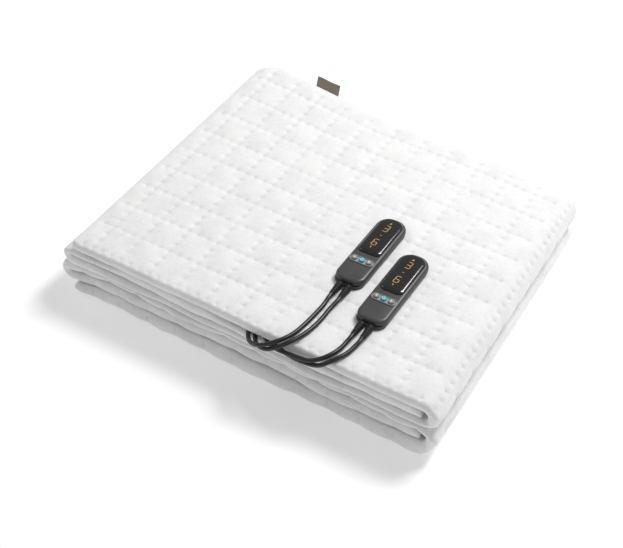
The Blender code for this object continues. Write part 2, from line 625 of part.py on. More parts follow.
def build_hank(side, mat, tie_mat):
    """The outer shape of a tied hank: an outline with round ends, as high as its layers."""
    start = HANKS[side]["start"]
    outer = HANK_RADIUS + CORD / 2
    count = 9
    outline = []
    for turn, centre_x in ((0, start[0] + HANK_RUN), (1, start[0])):
        for step in range(count):
            angle = -math.pi / 2 + math.pi * turn + math.pi * step / (count - 1)
            outline.append((centre_x + outer * math.cos(angle), start[1] + outer * math.sin(angle)))
    low = HANK_FOOT
    high = low + (HANK_LAYERS - 1) * HANK_STEP + CORD
    points = [(x, y, z) for z in (low, high) for x, y in outline]
    total = len(outline)
    faces = [(i, (i + 1) % total, total + (i + 1) % total, total + i) for i in range(total)]
    faces.append(tuple(range(total - 1, -1, -1)))
    faces.append(tuple(range(total, 2 * total)))
    mesh = mesh_from("hank_" + side, points, faces)
    fix_normals(mesh)
    add_object("hank_" + side, mesh, mat)
    middle = start[0] + HANK_RUN / 2
    points = []
    for x in (middle - 0.002, middle + 0.002):
        for width, foot, head in ((outer + 0.0012, 0.0002, high + 0.0012),
                                  (outer + 0.0004, 0.0010, high + 0.0004)):
            loop = ((-width, foot), (width, foot), (width, head), (-width, head))
            points.extend((x, start[1] + y, z) for y, z in loop)
    faces = []
    for i in range(4):
        j = (i + 1) % 4
        faces.append((i, j, 8 + j, 8 + i))
        faces.append((4 + j, 4 + i, 12 + i, 12 + j))
        faces.append((j, i, 4 + i, 4 + j))
        faces.append((8 + i, 8 + j, 12 + j, 12 + i))
    mesh = mesh_from("hank_tie_" + side, points, faces)
    fix_normals(mesh)
    add_object("hank_tie_" + side, mesh, tie_mat)


def build_plug(side, mat, pin_mat):
    """A flat plug with a tapered tail and two round pins, and the short cord to its hank."""
    x0, y0 = HANKS[side]["plug"]
    centre_z = PLUG_HEIGHT / 2 + 0.0002
    stations = [(0.0, 0.0031, 0.0031), (0.008, 0.0036, 0.0036), (0.020, 0.0052, 0.0048),
                (0.026, 0.0100, 0.0058), (0.033, 0.0128, 0.0064), (0.045, 0.0130, 0.0065),
                (PLUG_LENGTH, 0.0118, 0.0058)]
    sides = 16
    points, faces = [], []
    for along, half_y, half_z in stations:
        for i in range(sides):
            angle = 2 * math.pi * (i + 0.5) / sides
            c, s = math.cos(angle), math.sin(angle)
            power = 0.6
            points.append((x0 + along, y0 + half_y * math.copysign(abs(c) ** power, c),
                           centre_z + half_z * math.copysign(abs(s) ** power, s)))
    for ring in range(len(stations) - 1):
        for i in range(sides):
            a, b = ring * sides + i, ring * sides + (i + 1) % sides
            faces.append((a, b, b + sides, a + sides))
    faces.append(tuple(range(sides - 1, -1, -1)))
    faces.append(tuple(range((len(stations) - 1) * sides, len(stations) * sides)))
    mesh = mesh_from("plug_" + side, points, faces)
    fix_normals(mesh)
    add_object("plug_" + side, mesh, mat)
    for index, way in enumerate((-1, 1)):
        profile = [(0.0, PIN_RADIUS), (PIN_LENGTH - 0.001, PIN_RADIUS), (PIN_LENGTH, PIN_RADIUS - 0.0008)]
        pin = turned("plug_pin_" + side + "_" + "ab"[index], profile, pin_mat, sides=10)
        turn = Matrix.Rotation(math.radians(90.0), 4, "Z")
        place = Matrix.Translation((x0 + PLUG_LENGTH + GAP, y0 + way * PIN_APART / 2 * 0.9, centre_z))
        pin.data.transform(place @ turn)
    hank = HANKS[side]["start"]
    out_x = hank[0] + HANK_RUN + 0.0126
    out_y = hank[1] - HANK_RADIUS
    end = Vector((x0 - GAP * 2, y0, centre_z))
    route = [Vector((out_x, out_y, FLOOR_LINE)),
             Vector((out_x + 0.006, out_y + (y0 - out_y) * 0.12, FLOOR_LINE + 0.0002)),
             Vector((end.x - 0.005, y0 - (y0 - out_y) * 0.02, centre_z)), end]
    return tube("plug_cord_" + side, smooth_line(route, CORD * 1.2), mat)


# ---------------------------------------------------------------- label
def build_label(mat):
    """A small woven tab that stands against the top panel's back edge, 0.4 mm off it."""
    foot, head = Vector((-0.1542, 0.2074, 0.0785)), Vector((-0.1542, 0.2114, 0.0925))
    across = Vector((0.0370, -0.00395, 0.0000))
    thick = 0.0010
    rows, columns = 4, 4
    points, faces = [], []
    for layer in (0, 1):
        for r in range(rows + 1):
            for c in range(columns + 1):
                s, t = c / columns, r / rows
                point = foot + (head - foot) * t + across * s
                point.y += 0.0004 * math.sin(math.pi * s) + 0.0010 * t * t + layer * thick
                points.append(tuple(point))
    stride = columns + 1
    under = (rows + 1) * stride
    for r in range(rows):
        for c in range(columns):
            a = r * stride + c
            faces.append((a, a + 1, a + 1 + stride, a + stride))
            faces.append((under + a, under + a + stride, under + a + 1 + stride, under + a + 1))
    rim = ([c for c in range(columns)] + [r * stride + columns for r in range(rows)]
           + [rows * stride + c for c in range(columns, 0, -1)] + [r * stride for r in range(rows, 0, -1)])
    for i, a in enumerate(rim):
        b = rim[(i + 1) % len(rim)]
        faces.append((a, under + a, under + b, b))
    mesh = mesh_from("blanket_label", points, faces)
    fix_normals(mesh)
    return add_object("blanket_label", mesh, mat)


def centre_on_foot():
    """Move everything so that the origin is under the middle of the stack."""
    shift = Vector(TO_ORIGIN)
    for obj in bpy.data.objects:
        if obj.location.length > 0.0:
            obj.location = obj.location + shift
        else:
            obj.data.transform(Matrix.Translation(shift))


def main():
    clear_scene()
    cloth = material("quilted_cloth", (0.88, 0.88, 0.86), 0.92)
    mats = {
        "case": material("handset_case", (0.055, 0.058, 0.062), 0.42),
        "case_dark": material("handset_base", (0.025, 0.026, 0.028), 0.50),
        "window": material("display_window", (0.010, 0.010, 0.012), 0.08),
        "rim": material("button_surround", (0.50, 0.52, 0.54), 0.40),
        "button": material("button_grey", (0.20, 0.21, 0.23), 0.45),
        "power": material("button_power", (0.030, 0.36, 0.46), 0.40),
        "rubber": material("cord_guard", (0.020, 0.020, 0.022), 0.60),
    }
    cord = material("cord_sheath", (0.018, 0.018, 0.020), 0.45)
    tie = material("hank_tie", (0.030, 0.030, 0.032), 0.55)
    pin = material("plug_pin", (0.80, 0.62, 0.30), 0.28, 1.0)
    woven = material("woven_label", (0.30, 0.25, 0.21), 0.85)
    build_blanket(cloth)
    build_label(woven)
    for side in HANDSETS:
        build_handset(side, mats)
        for which in ("a", "b"):
            kind = "blanket_cord_" if (side, which) in BLANKET_CORDS else "mains_lead_"
            tube(kind + side, smooth_line(cord_route(side, which), CORD * 2.4), cord)
        build_hank(side, cord, tie)
        build_plug(side, cord, pin)
    centre_on_foot()


main()
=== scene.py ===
"""Looks of a folded, quilted electric blanket with two corded hand controllers on top."""
import logging
import math
from collections.abc import Callable, Sequence
from dataclasses import dataclass, field
from enum import Enum

import bmesh
import bpy
import numpy as np
from mathutils import Matrix, Vector


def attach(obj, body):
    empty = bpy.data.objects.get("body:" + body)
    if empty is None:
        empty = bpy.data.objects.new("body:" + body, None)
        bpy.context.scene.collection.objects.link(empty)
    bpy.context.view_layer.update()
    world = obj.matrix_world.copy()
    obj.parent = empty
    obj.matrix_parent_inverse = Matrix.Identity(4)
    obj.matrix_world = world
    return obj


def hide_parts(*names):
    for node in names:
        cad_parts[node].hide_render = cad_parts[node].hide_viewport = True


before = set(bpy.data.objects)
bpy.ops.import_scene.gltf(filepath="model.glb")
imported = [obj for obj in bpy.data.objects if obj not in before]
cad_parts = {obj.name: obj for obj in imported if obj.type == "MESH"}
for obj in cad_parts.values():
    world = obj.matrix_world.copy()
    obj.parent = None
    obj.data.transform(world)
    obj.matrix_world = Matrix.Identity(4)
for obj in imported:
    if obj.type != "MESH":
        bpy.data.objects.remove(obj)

logging.basicConfig(level=logging.INFO, format="%(name)s: %(message)s")
LOG = logging.getLogger("heated_blanket")

ROOT = "root"

Point = tuple[float, float, float]
Outline = list[tuple[float, float]]
Solid = tuple[list[Point], list[tuple[int, ...]]]
Lines = tuple[np.ndarray, np.ndarray]
Socket = bpy.types.NodeSocket


class Side(Enum):
    """The two hand controllers and what belongs to each."""

    LEFT = "left"
    RIGHT = "right"


class Cord(Enum):
    """The two cords of a hand controller, by where they leave it."""

    A = "a"
    B = "b"


@dataclass(frozen=True)
class Place:
    """How the quilting's grid lies in the frame, in metres."""

    cell: float = 0.040
    column: float = 3.03
    row: float = 1.12
    grid_top: float = 0.083
    top: float = 0.084
    origin: Point = (-0.0008, -0.0086, 0.0)

    def at(self, column: float, row: float, above: float = 0.0) -> Vector:
        """Point of a grid place.

        Args:
            column: Grid column, counted to the right.
            row: Grid row, counted to the back.
            above: Millimetres above the quilting's plane.

        Returns:
            The point in the frame.
        """
        x = (column - self.column) * self.cell
        y = (row - self.row) * self.cell
        return Vector((x, y, self.grid_top + above * 0.001)) + Vector(self.origin)

    def moved(self, point: Sequence[float]) -> Vector:
        """The point of a route, moved to the frame's origin."""
        return Vector(point) + Vector(self.origin)


PLACE = Place()


def smoothstep(value: np.ndarray, low: float, high: float) -> np.ndarray:
    """Smooth share of the way from low to high.

    Args:
        value: Where on the way.
        low: Where the share is 0.
        high: Where the share is 1.

    Returns:
        Shares from 0 to 1.
    """
    share = np.clip((value - low) / (high - low), 0.0, 1.0)
    return share * share * (3.0 - 2.0 * share)


# ------------------------------------------------------------------ shader building blocks
class Nodes:
    """Adds shader nodes to one tree, with values set by socket name."""

    def __init__(self, tree: bpy.types.NodeTree) -> None:
        """Keep the tree that nodes are added to."""
        self.tree = tree

    def add(self, kind: str, **values: object) -> bpy.types.Node:
        """A new node.

        Args:
            kind: The node's type name.
            **values: Attributes in lower case.

        Returns:
            The node.
        """
        node = self.tree.nodes.new(kind)
        for name, value in values.items():
            setattr(node, name, value)
        return node

    def link(self, source: Socket, target: Socket) -> None:
        """Join two sockets."""
        self.tree.links.new(source, target)

    def maths(self, operation: str, first: Socket | float, second: Socket | float) -> Socket:
        """A maths node fed by sockets or numbers.

        Args:
            operation: Blender's name of the operation.
            first: Socket or number.
            second: Socket or number.

        Returns:
            The result's socket.
        """
        node = self.add("ShaderNodeMath", operation=operation)
        for index, value in enumerate((first, second)):
            if isinstance(value, (int, float)):
                node.inputs[index].default_value = value
            else:
                self.link(value, node.inputs[index])
        return node.outputs[0]

    def blend(self, first: Socket, second: Socket, share: float) -> Socket:
        """Two values mixed.

        Args:
            first: The first value's socket.
            second: The second value's socket.
            share: How much of the second there is.

        Returns:
            The result's socket.
        """
        parts = [self.maths("MULTIPLY", first, 1.0 - share), self.maths("MULTIPLY", second, share)]
        return self.maths("ADD", *parts)

    def noise(self, scale: float, detail: float, roughness: float,
              stretch: Point = (1.0, 1.0, 1.0)) -> Socket:
        """Noise in object space.

        Args:
            scale: Spots per metre.
            detail: Octaves.
            roughness: How strong the finer octaves are.
            stretch: Scale along each axis.

        Returns:
            The noise's value socket.
        """
        where = self.add("ShaderNodeTexCoord")
        mapping = self.add("ShaderNodeMapping")
        mapping.inputs["Scale"].default_value = stretch
        self.link(where.outputs["Object"], mapping.inputs["Vector"])
        node = self.add("ShaderNodeTexNoise")
        node.inputs["Scale"].default_value = scale
        node.inputs["Detail"].default_value = detail
        node.inputs["Roughness"].default_value = roughness
        self.link(mapping.outputs["Vector"], node.inputs["Vector"])
        return node.outputs[0]


TUFT_SHARE_OF_HEIGHT, TUFT_SHARE_OF_MOTTLE = 0.55, 0.45
SMEAR_STRETCH = (1.0, 0.4, 1.0)


def nap_group() -> bpy.types.NodeTree:
    """Short soft nap: a height and a mottle mask, shared by the cloth and the label.

    Returns:
        The node group, with outputs Height and Mottle.
    """
    group = bpy.data.node_groups.new("soft_nap", "ShaderNodeTree")
    group.interface.new_socket("Height", in_out="OUTPUT", socket_type="NodeSocketFloat")
    group.interface.new_socket("Mottle", in_out="OUTPUT", socket_type="NodeSocketFloat")
    nodes = Nodes(group)
    out = nodes.add("NodeGroupOutput")
    fine = nodes.noise(900.0, 4.0, 0.65)
    tufts = nodes.noise(260.0, 3.0, 0.6)
    broad = nodes.noise(34.0, 3.0, 0.55)
    nodes.link(nodes.blend(fine, tufts, TUFT_SHARE_OF_HEIGHT), out.inputs["Height"])
    nodes.link(nodes.blend(broad, tufts, TUFT_SHARE_OF_MOTTLE), out.inputs["Mottle"])
    return group


def wear_group() -> bpy.types.NodeTree:
    """Faint handling marks for hard plastic: a roughness change and a fine grain height.

    Returns:
        The node group, with outputs Smear and Grain.
    """
    group = bpy.data.node_groups.new("handled_plastic", "ShaderNodeTree")
    group.interface.new_socket("Smear", in_out="OUTPUT", socket_type="NodeSocketFloat")
    group.interface.new_socket("Grain", in_out="OUTPUT", socket_type="NodeSocketFloat")
    nodes = Nodes(group)
    out = nodes.add("NodeGroupOutput")
    smear = nodes.noise(55.0, 4.0, 0.55, SMEAR_STRETCH)
    grain = nodes.noise(2600.0, 2.0, 0.5)
    nodes.link(smear, out.inputs["Smear"])
    nodes.link(grain, out.inputs["Grain"])
    return group


@dataclass(frozen=True)
class ClothFinish:
    """Soft quilted microfibre."""

    colour: Point = (0.86, 0.86, 0.855)
    shade: Point = (0.78, 0.78, 0.785)
    mottle: tuple[float, float] = (0.36, 0.58)
    bump: float = 0.35
    depth: float = 0.0006
    roughness: float = 0.92
    specular: float = 0.18
    sheen: float = 0.25
    sheen_roughness: float = 0.45

    def build(self, name: str, nap: bpy.types.NodeTree) -> bpy.types.Material:
        """The material.

        Args:
            name: Its name.
            nap: The shared nap group.

        Returns:
            The material.
        """
        mat = bpy.data.materials.new(name)
        mat.use_nodes = True
        nodes = Nodes(mat.node_tree)
        shader = mat.node_tree.nodes["Principled BSDF"]
        group = nodes.add("ShaderNodeGroup", node_tree=nap)
        mix = nodes.add("ShaderNodeMix", data_type="RGBA")
        mix.inputs[6].default_value = (*self.shade, 1.0)
        mix.inputs[7].default_value = (*self.colour, 1.0)
        level = nodes.add("ShaderNodeMapRange")
        level.inputs["From Min"].default_value = self.mottle[0]
        level.inputs["From Max"].default_value = self.mottle[1]
        nodes.link(group.outputs["Mottle"], level.inputs["Value"])
        nodes.link(level.outputs["Result"], mix.inputs[0])
        nodes.link(mix.outputs[2], shader.inputs["Base Color"])
        bump = nodes.add("ShaderNodeBump")
        bump.inputs["Strength"].default_value = self.bump
        bump.inputs["Distance"].default_value = self.depth
        nodes.link(group.outputs["Height"], bump.inputs["Height"])
        nodes.link(bump.outputs["Normal"], shader.inputs["Normal"])
        shader.inputs["Roughness"].default_value = self.roughness
        shader.inputs["Specular IOR Level"].default_value = self.specular
        shader.inputs["Sheen Weight"].default_value = self.sheen
        shader.inputs["Sheen Roughness"].default_value = self.sheen_roughness
        return mat


@dataclass(frozen=True)
class WovenFinish:
    """Brown-grey woven tape."""

    dark: Point = (0.20, 0.16, 0.13)
    light: Point = (0.36, 0.30, 0.25)
    thread_scale: float = 420.0
    thread_bend: float = 1.2
    bump: float = 0.3
    depth: float = 0.0003
    roughness: float = 0.85

    def build(self, name: str, nap: bpy.types.NodeTree) -> bpy.types.Material:
        """The material.

        Args:
            name: Its name.
            nap: The shared nap group.

        Returns:
            The material.
        """
        mat = bpy.data.materials.new(name)
        mat.use_nodes = True
        nodes = Nodes(mat.node_tree)
        shader = mat.node_tree.nodes["Principled BSDF"]
        where = nodes.add("ShaderNodeTexCoord")
        wave = nodes.add("ShaderNodeTexWave")
        wave.inputs["Scale"].default_value = self.thread_scale
        wave.inputs["Distortion"].default_value = self.thread_bend
        nodes.link(where.outputs["Object"], wave.inputs["Vector"])
        mix = nodes.add("ShaderNodeMix", data_type="RGBA")
        mix.inputs[6].default_value = (*self.dark, 1.0)
        mix.inputs[7].default_value = (*self.light, 1.0)
        nodes.link(wave.outputs["Fac"], mix.inputs[0])
        nodes.link(mix.outputs[2], shader.inputs["Base Color"])
        group = nodes.add("ShaderNodeGroup", node_tree=nap)
        bump = nodes.add("ShaderNodeBump")
        bump.inputs["Strength"].default_value = self.bump
        bump.inputs["Distance"].default_value = self.depth
        nodes.link(group.outputs["Height"], bump.inputs["Height"])
        nodes.link(bump.outputs["Normal"], shader.inputs["Normal"])
        shader.inputs["Roughness"].default_value = self.roughness
        return mat


@dataclass(frozen=True)
class PlasticFinish:
    """A moulded plastic or rubber finish with faint handling marks."""

    colour: Point
    roughness: float
    spread: float = 0.08
    grain: float = 0.10
    grain_depth: float = 0.0001
    smear: tuple[float, float] = (0.3, 0.7)
    least_roughness: float = 0.02
    metallic: float = 0.0
    coat: float = 0.0
    glow: float = 0.0

    def build(self, name: str, wear: bpy.types.NodeTree) -> bpy.types.Material:
        """The material.

        Args:
            name: Its name.
            wear: The shared handling marks group.

        Returns:
            The material.
        """
        mat = bpy.data.materials.new(name)
        mat.use_nodes = True
        nodes = Nodes(mat.node_tree)
        shader = mat.node_tree.nodes["Principled BSDF"]
        group = nodes.add("ShaderNodeGroup", node_tree=wear)
        level = nodes.add("ShaderNodeMapRange")
        level.inputs["From Min"].default_value = self.smear[0]
        level.inputs["From Max"].default_value = self.smear[1]
        level.inputs["To Min"].default_value = max(self.roughness - self.spread, self.least_roughness)
        level.inputs["To Max"].default_value = self.roughness + self.spread
        nodes.link(group.outputs["Smear"], level.inputs["Value"])
        nodes.link(level.outputs["Result"], shader.inputs["Roughness"])
        if self.grain > 0.0:
            bump = nodes.add("ShaderNodeBump")
            bump.inputs["Strength"].default_value = self.grain
            bump.inputs["Distance"].default_value = self.grain_depth
            nodes.link(group.outputs["Grain"], bump.inputs["Height"])
            nodes.link(bump.outputs["Normal"], shader.inputs["Normal"])
        shader.inputs["Base Color"].default_value = (*self.colour, 1.0)
        shader.inputs["Metallic"].default_value = self.metallic
        shader.inputs["Coat Weight"].default_value = self.coat
        if self.glow > 0.0:
            shader.inputs["Emission Color"].default_value = (*self.colour, 1.0)
            shader.inputs["Emission Strength"].default_value = self.glow
        return mat


FINISHES: dict[str, PlasticFinish] = {
    "handset_case": PlasticFinish((0.058, 0.057, 0.057), 0.38),
    "handset_base": PlasticFinish((0.022, 0.022, 0.024), 0.45),
    "display_window": PlasticFinish((0.006, 0.006, 0.007), 0.16, 0.03, 0.0, coat=0.6),
    "button_surround": PlasticFinish((0.34, 0.345, 0.355), 0.38),
    "button_grey": PlasticFinish((0.24, 0.245, 0.255), 0.42),
    "button_power": PlasticFinish((0.045, 0.38, 0.46), 0.38),
    "cord_guard": PlasticFinish((0.014, 0.014, 0.015), 0.50),
    "cord_sheath": PlasticFinish((0.012, 0.012, 0.013), 0.36, 0.06, 0.05),
    "hank_tie": PlasticFinish((0.025, 0.025, 0.027), 0.55),
    "plug_pin": PlasticFinish((0.80, 0.62, 0.30), 0.25, 0.05, 0.0, metallic=1.0),
    "marks": PlasticFinish((0.56, 0.35, 0.10), 0.5, 0.02, 0.0, glow=0.15),
    "symbols": PlasticFinish((0.80, 0.82, 0.83), 0.5, 0.02, 0.0),
}


# ------------------------------------------------------------------ mesh helpers
def new_object(name: str, points: Sequence[Sequence[float]], faces: Sequence[tuple[int, ...]],
               mat: bpy.types.Material, smooth: float = 40.0) -> bpy.types.Object:
    """A mesh object from points and faces, shaded smooth.

    Args:
        name: The object's name.
        points: Its points in the frame.
        faces: Tuples of point numbers.
        mat: Its material.
        smooth: Edges sharper than this many degrees stay sharp.

    Returns:
        The object, linked to the scene.
    """
    mesh = bpy.data.meshes.new(name)
    mesh.from_pydata([tuple(p) for p in points], [], faces)
    mesh.update()
    work = bmesh.new()
    work.from_mesh(mesh)
    bmesh.ops.recalc_face_normals(work, faces=work.faces)
    if work.calc_volume(signed=True) < 0.0:
        bmesh.ops.reverse_faces(work, faces=work.faces)
    work.to_mesh(mesh)
    work.free()
    mesh.materials.append(mat)
    mesh.shade_smooth()
    mesh.set_sharp_from_angle(angle=math.radians(smooth))
    obj = bpy.data.objects.new(name, mesh)
    bpy.context.scene.collection.objects.link(obj)
    return obj


def join_meshes(name: str, parts: list[Solid], mat: bpy.types.Material,
                smooth: float = 40.0) -> bpy.types.Object:
    """One object from several solids.

    Args:
        name: The object's name.
        parts: The solids, each its points and faces.
        mat: Their material.
        smooth: Edges sharper than this many degrees stay sharp.

    Returns:
        The object, linked to the scene.
    """
    points, faces = [], []
    for part_points, part_faces in parts:
        start = len(points)
        points.extend(part_points)
        faces.extend(tuple(start + i for i in f) for f in part_faces)
    return new_object(name, points, faces, mat, smooth)


def grid_quads(rows: int, columns: int, start: int) -> list[tuple[int, int, int, int]]:
    """Faces of a grid of points.

    Args:
        rows: How many rows of points there are.
        columns: How many points a row has.
        start: The first point's number.

    Returns:
        The faces.
    """
    i, j = np.meshgrid(np.arange(rows - 1), np.arange(columns - 1), indexing="ij")
    a = (start + i * columns + j).ravel()
    quads = np.stack([a, a + columns, a + columns + 1, a + 1], axis=-1)
    return [tuple(int(k) for k in q) for q in quads]


def stitch(first: range, first_at: np.ndarray, second: range,
           second_at: np.ndarray) -> list[tuple[int, int, int]]:
    """Triangles between two rows of points that run side by side.

    Args:
        first: Point numbers of one row.
        first_at: Where along the edge they are.
        second: Point numbers of the other row.
        second_at: Where along the edge those are.

    Returns:
        The triangles.
    """
    faces, i, j = [], 0, 0
    while i < len(first) - 1 or j < len(second) - 1:
        ahead = j == len(second) - 1 or (i < len(first) - 1 and first_at[i + 1] <= second_at[j + 1])
        if ahead:
            faces.append((first[i], first[i + 1], second[j]))
            i += 1
        else:
            faces.append((first[i], second[j + 1], second[j]))
            j += 1
    return faces


# ------------------------------------------------------------------ the quilted sheet
@dataclass(frozen=True)
class Ripple:
    """An unevenness of two sine waves, each by its radians per metre and its start."""

    height: float
    first: tuple[float, float]
    second: tuple[float, float]
    second_share: float = 0.6

    def at(self, place: np.ndarray) -> np.ndarray:
        """Its height.

        Args:
            place: Places along it.

        Returns:
            The height at each.
        """
        main = np.sin(place * self.first[0] + self.first[1])
        other = np.sin(place * self.second[0] + self.second[1])
        return self.height * (main + self.second_share * other)


@dataclass
class QuiltedSheet:
    """The whole sheet in its fold: hems to the middle, then in thirds, then in half.

    Sheet coordinates are u (left to right when spread), v (foot to head) and w (out of it).
    """

    pitch: float = 0.0070
    thickness: float = 0.0056
    hem_radius: float = 0.006
    hem_least: float = 0.35
    gap_low: float = 0.0025
    gap_top: float = 0.0015
    half_gap: float = 0.0005
    front: float = -0.2045
    back_fold: float = 0.1770
    back_arc: float = 0.075
    back_flatten: float = 0.75
    flap_turn: float = 0.012
    left: float = -0.2292
    right: float = 0.2322
    inner_end: float = 0.0020
    top_hem: float = -0.2225
    lean: float = 0.042
    slip: float = 0.009
    corner: float = 0.016
    left_zone: float = 0.080
    dot_pitch: float = PLACE.cell / 3.0
    dot_depth: float = 0.0025
    dot_radius: float = 0.0011
    puff: float = 0.0010
    pillow_power: float = 1.5
    plain_edge: tuple[float, float] = (0.003, 0.012)
    grid_shift: float = 0.006
    recess_ripples: tuple[Ripple, Ripple] = (
        Ripple(0.0011, (20.3, 0.7), (49.5, 2.1)), Ripple(0.0012, (22.1, 2.9), (45.5, 0.4)))
    layer_ripple: Ripple = Ripple(0.0011, (33.0, 1.0), (74.0, 2.4))
    recess_upper: tuple[float, float, float] = (0.0035, 0.0030, 0.0)
    recess_lower: tuple[float, float, float] = (0.0045, 0.0050, 0.0010)
    back_places: tuple[float, ...] = (-0.2292, -0.2025, -0.1492, -0.0221, 0.1051, 0.2322)
    back_out: tuple[float, ...] = (0.011, 0.021, 0.015, 0.002, 0.001, -0.007)
    back_up: tuple[float, ...] = (0.001, 0.007, 0.005, 0.000, 0.000, 0.000)
    levels: tuple[float, ...] = (0.0, 0.0181, 0.0197, 0.0330, 0.0338, 0.0425,
                                 0.0433, 0.0520, 0.0530, 0.0640, 0.0700, 0.0840)
    left_levels: tuple[float, ...] = (0.0, 0.0097, 0.0114, 0.0225, 0.0255, 0.0385,
                                      0.0395, 0.0535, 0.0565, 0.0640, 0.0700, 0.0830)
    front_lift: float = 0.0042
    cord_mouth: tuple[float, float] = (-0.012, 0.135)
    length_u: float = field(init=False)
    length_v: float = field(init=False)

    def __post_init__(self) -> None:
        """Work out the fold's lines and the layers' flat levels from the sizes."""
        self.step_low = 2 * self.pitch + self.gap_low
        self.step_top = self.step_low + 2 * self.pitch + self.gap_top
        self.back = self.back_fold - self.front
        self.run = 2 * self.back + self.back_arc
        flap, turn = self.back + self.flap_turn, math.pi * self.pitch / 2
        self.flap, self.small_turn = flap, turn
        self.v_marks = np.cumsum([0.0, flap, turn, self.run, turn, flap])
        self.u_marks = np.cumsum([
            0.0, self.right + self.inner_end - self.left, math.pi * self.step_low / 2,
            self.right - self.left, math.pi * self.step_top / 2, self.right - self.top_hem])
        self.length_u, self.length_v = float(self.u_marks[-1]), float(self.v_marks[-1])
        low = self.half_gap + (self.pitch - self.thickness) / 2
        high = low + self.pitch + self.thickness
        half = np.array([low, high, low + self.step_low, high + self.step_low,
                         low + self.step_top, high + self.step_top])
        self.flat_levels = np.concatenate([-half[::-1], half])
        # quilting lines fall on the frame's grid on the top panel
        self.u_dots = self.u_marks[4] + self.right - (-PLACE.column + 3.0) * PLACE.cell - self.grid_shift
        self.v_dots = self.v_marks[1]

    def hem_share(self, u: np.ndarray, v: np.ndarray) -> np.ndarray:
        """Thickness as a share of its full value: thin at every hem.

        Args:
            u: Places across the sheet.
            v: Places along it.

        Returns:
            Shares from hem_least to 1.
        """
        edge = np.minimum.reduce([u, self.length_u - u, v, self.length_v - v])
        close = np.clip(1.0 - edge / self.hem_radius, 0.0, 1.0)
        return self.hem_least + (1.0 - self.hem_least) * np.sqrt(np.clip(1.0 - close ** 2, 0.0, 1.0))

    def quilting(self, u: np.ndarray, v: np.ndarray) -> np.ndarray:
        """Height of the quilted face over the plain one: pillows and pressed dots.

        Args:
            u: Places across the sheet.
            v: Places along it.

        Returns:
            Heights in metres.
        """
        across, along = (u - self.u_dots) / self.dot_pitch, (v - self.v_dots) / self.dot_pitch
        column, row = np.round(across), np.round(along)
        on_line = ((column % 3) == 0) | ((row % 3) == 0)
        far = ((across - column) ** 2 + (along - row) ** 2) * self.dot_pitch ** 2
        dot = np.where(on_line, np.exp(-far / (2 * self.dot_radius ** 2)), 0.0)
        pillow = np.abs(np.sin(math.pi * across / 3)) * np.abs(np.sin(math.pi * along / 3))
        edge = np.minimum.reduce([u, self.length_u - u, v, self.length_v - v])
        inside = smoothstep(edge, *self.plain_edge)
        soft = 0.5 + 0.25 * np.sin(u * 61.0 + 1.3) + 0.25 * np.sin(v * 47.0 + u * 23.0)
        raised = self.puff * pillow ** self.pillow_power * (0.6 + 0.8 * soft)
        return (raised - self.dot_depth * (0.75 + 0.5 * soft) * dot) * inside

    def fold_hems(self, v: np.ndarray, w: np.ndarray) -> tuple[np.ndarray, np.ndarray]:
        """Both ends folded under, to the middle.

        Args:
            v: Places along the sheet.
            w: Heights out of its middle plane.

        Returns:
            The places along the folded strip, and the heights.
        """
        b = self.v_marks
        radius = self.pitch / 2 + w
        first = np.clip((v - b[1]) / self.small_turn, 0.0, 1.0) * math.pi
        second = np.clip((v - b[3]) / self.small_turn, 0.0, 1.0) * math.pi
        near, far = v <= b[2], v >= b[3]
        y = np.where(near, np.where(v <= b[1], self.flap - v, -radius * np.sin(first)), v - b[2])
        z = np.where(near, -radius * np.cos(first), radius)
        end = np.where(v >= b[4], self.run - (v - b[4]), self.run + radius * np.sin(second))
        return np.where(far, end, y), np.where(far, radius * np.cos(second), z)

    def fold_thirds(self, u: np.ndarray, y: np.ndarray, z: np.ndarray) -> tuple[np.ndarray, np.ndarray]:
        """The left third over the middle, then the right third over both.

        Args:
            u: Places across the sheet.
            y: Places along the strip that the hems' fold leaves.
            z: Heights in that strip.

        Returns:
            The places across the stack, and the heights.
        """
        b = self.u_marks
        under = smoothstep(y, self.back, self.back + self.back_arc)
        side = (1.0 - 2.0 * under) * self.pitch
        press = np.sqrt(np.clip(1.0 - np.clip(1.0 - u / self.corner, 0.0, 1.0) ** 2, 0.0, 1.0))
        z = np.where(u < self.corner, side + (z - side) * (0.40 + 0.60 * press), z)
        left = np.clip((u - b[1]) / (b[2] - b[1]), 0.0, 1.0) * math.pi
        right = np.clip((u - b[3]) / (b[4] - b[3]), 0.0, 1.0) * math.pi
        left_radius, right_radius = self.step_low / 2 - z, self.step_top / 2 - z
        zones = [u <= b[1], u <= b[2], u <= b[3], u <= b[4]]
        x = np.select(zones, [
            self.right + self.inner_end - u, self.left - left_radius * np.sin(left),
            self.left + (u - b[2]), self.right + right_radius * np.sin(right)],
            self.right - (u - b[4]))
        height = np.select(zones, [
            self.step_low - z, self.step_low / 2 + left_radius * np.cos(left),
            z, self.step_top / 2 - right_radius * np.cos(right)], self.step_top - z)
        return x, height

    def recess(self, u: np.ndarray, y: np.ndarray) -> np.ndarray:
        """How far each panel's front fold is set back, with some unevenness.

        Args:
            u: Places across the sheet.
            y: Places along the folded strip.

        Returns:
            Distances in metres.
        """
        b = self.u_marks
        places = [b[1] * 0.3, b[1], b[2], b[3], b[4], b[5]]
        share = []
        for middle, low, top in (self.recess_upper, self.recess_lower):
            share.append(np.interp(u, places, [middle, middle, low, low, top, top]))
        near_front = np.clip(1.0 - y / self.back, 0.0, 1.0)
        near_end = np.clip((y - self.back - self.back_arc) / self.back, 0.0, 1.0)
        calm = 1.0 - smoothstep(u, b[4] - 0.02, b[4] + 0.03) * 0.6
        uneven = self.recess_ripples[0].at(u) * calm
        other = self.recess_ripples[1].at(u)
        return (share[0] + uneven) * near_front - (share[1] + other) * near_end

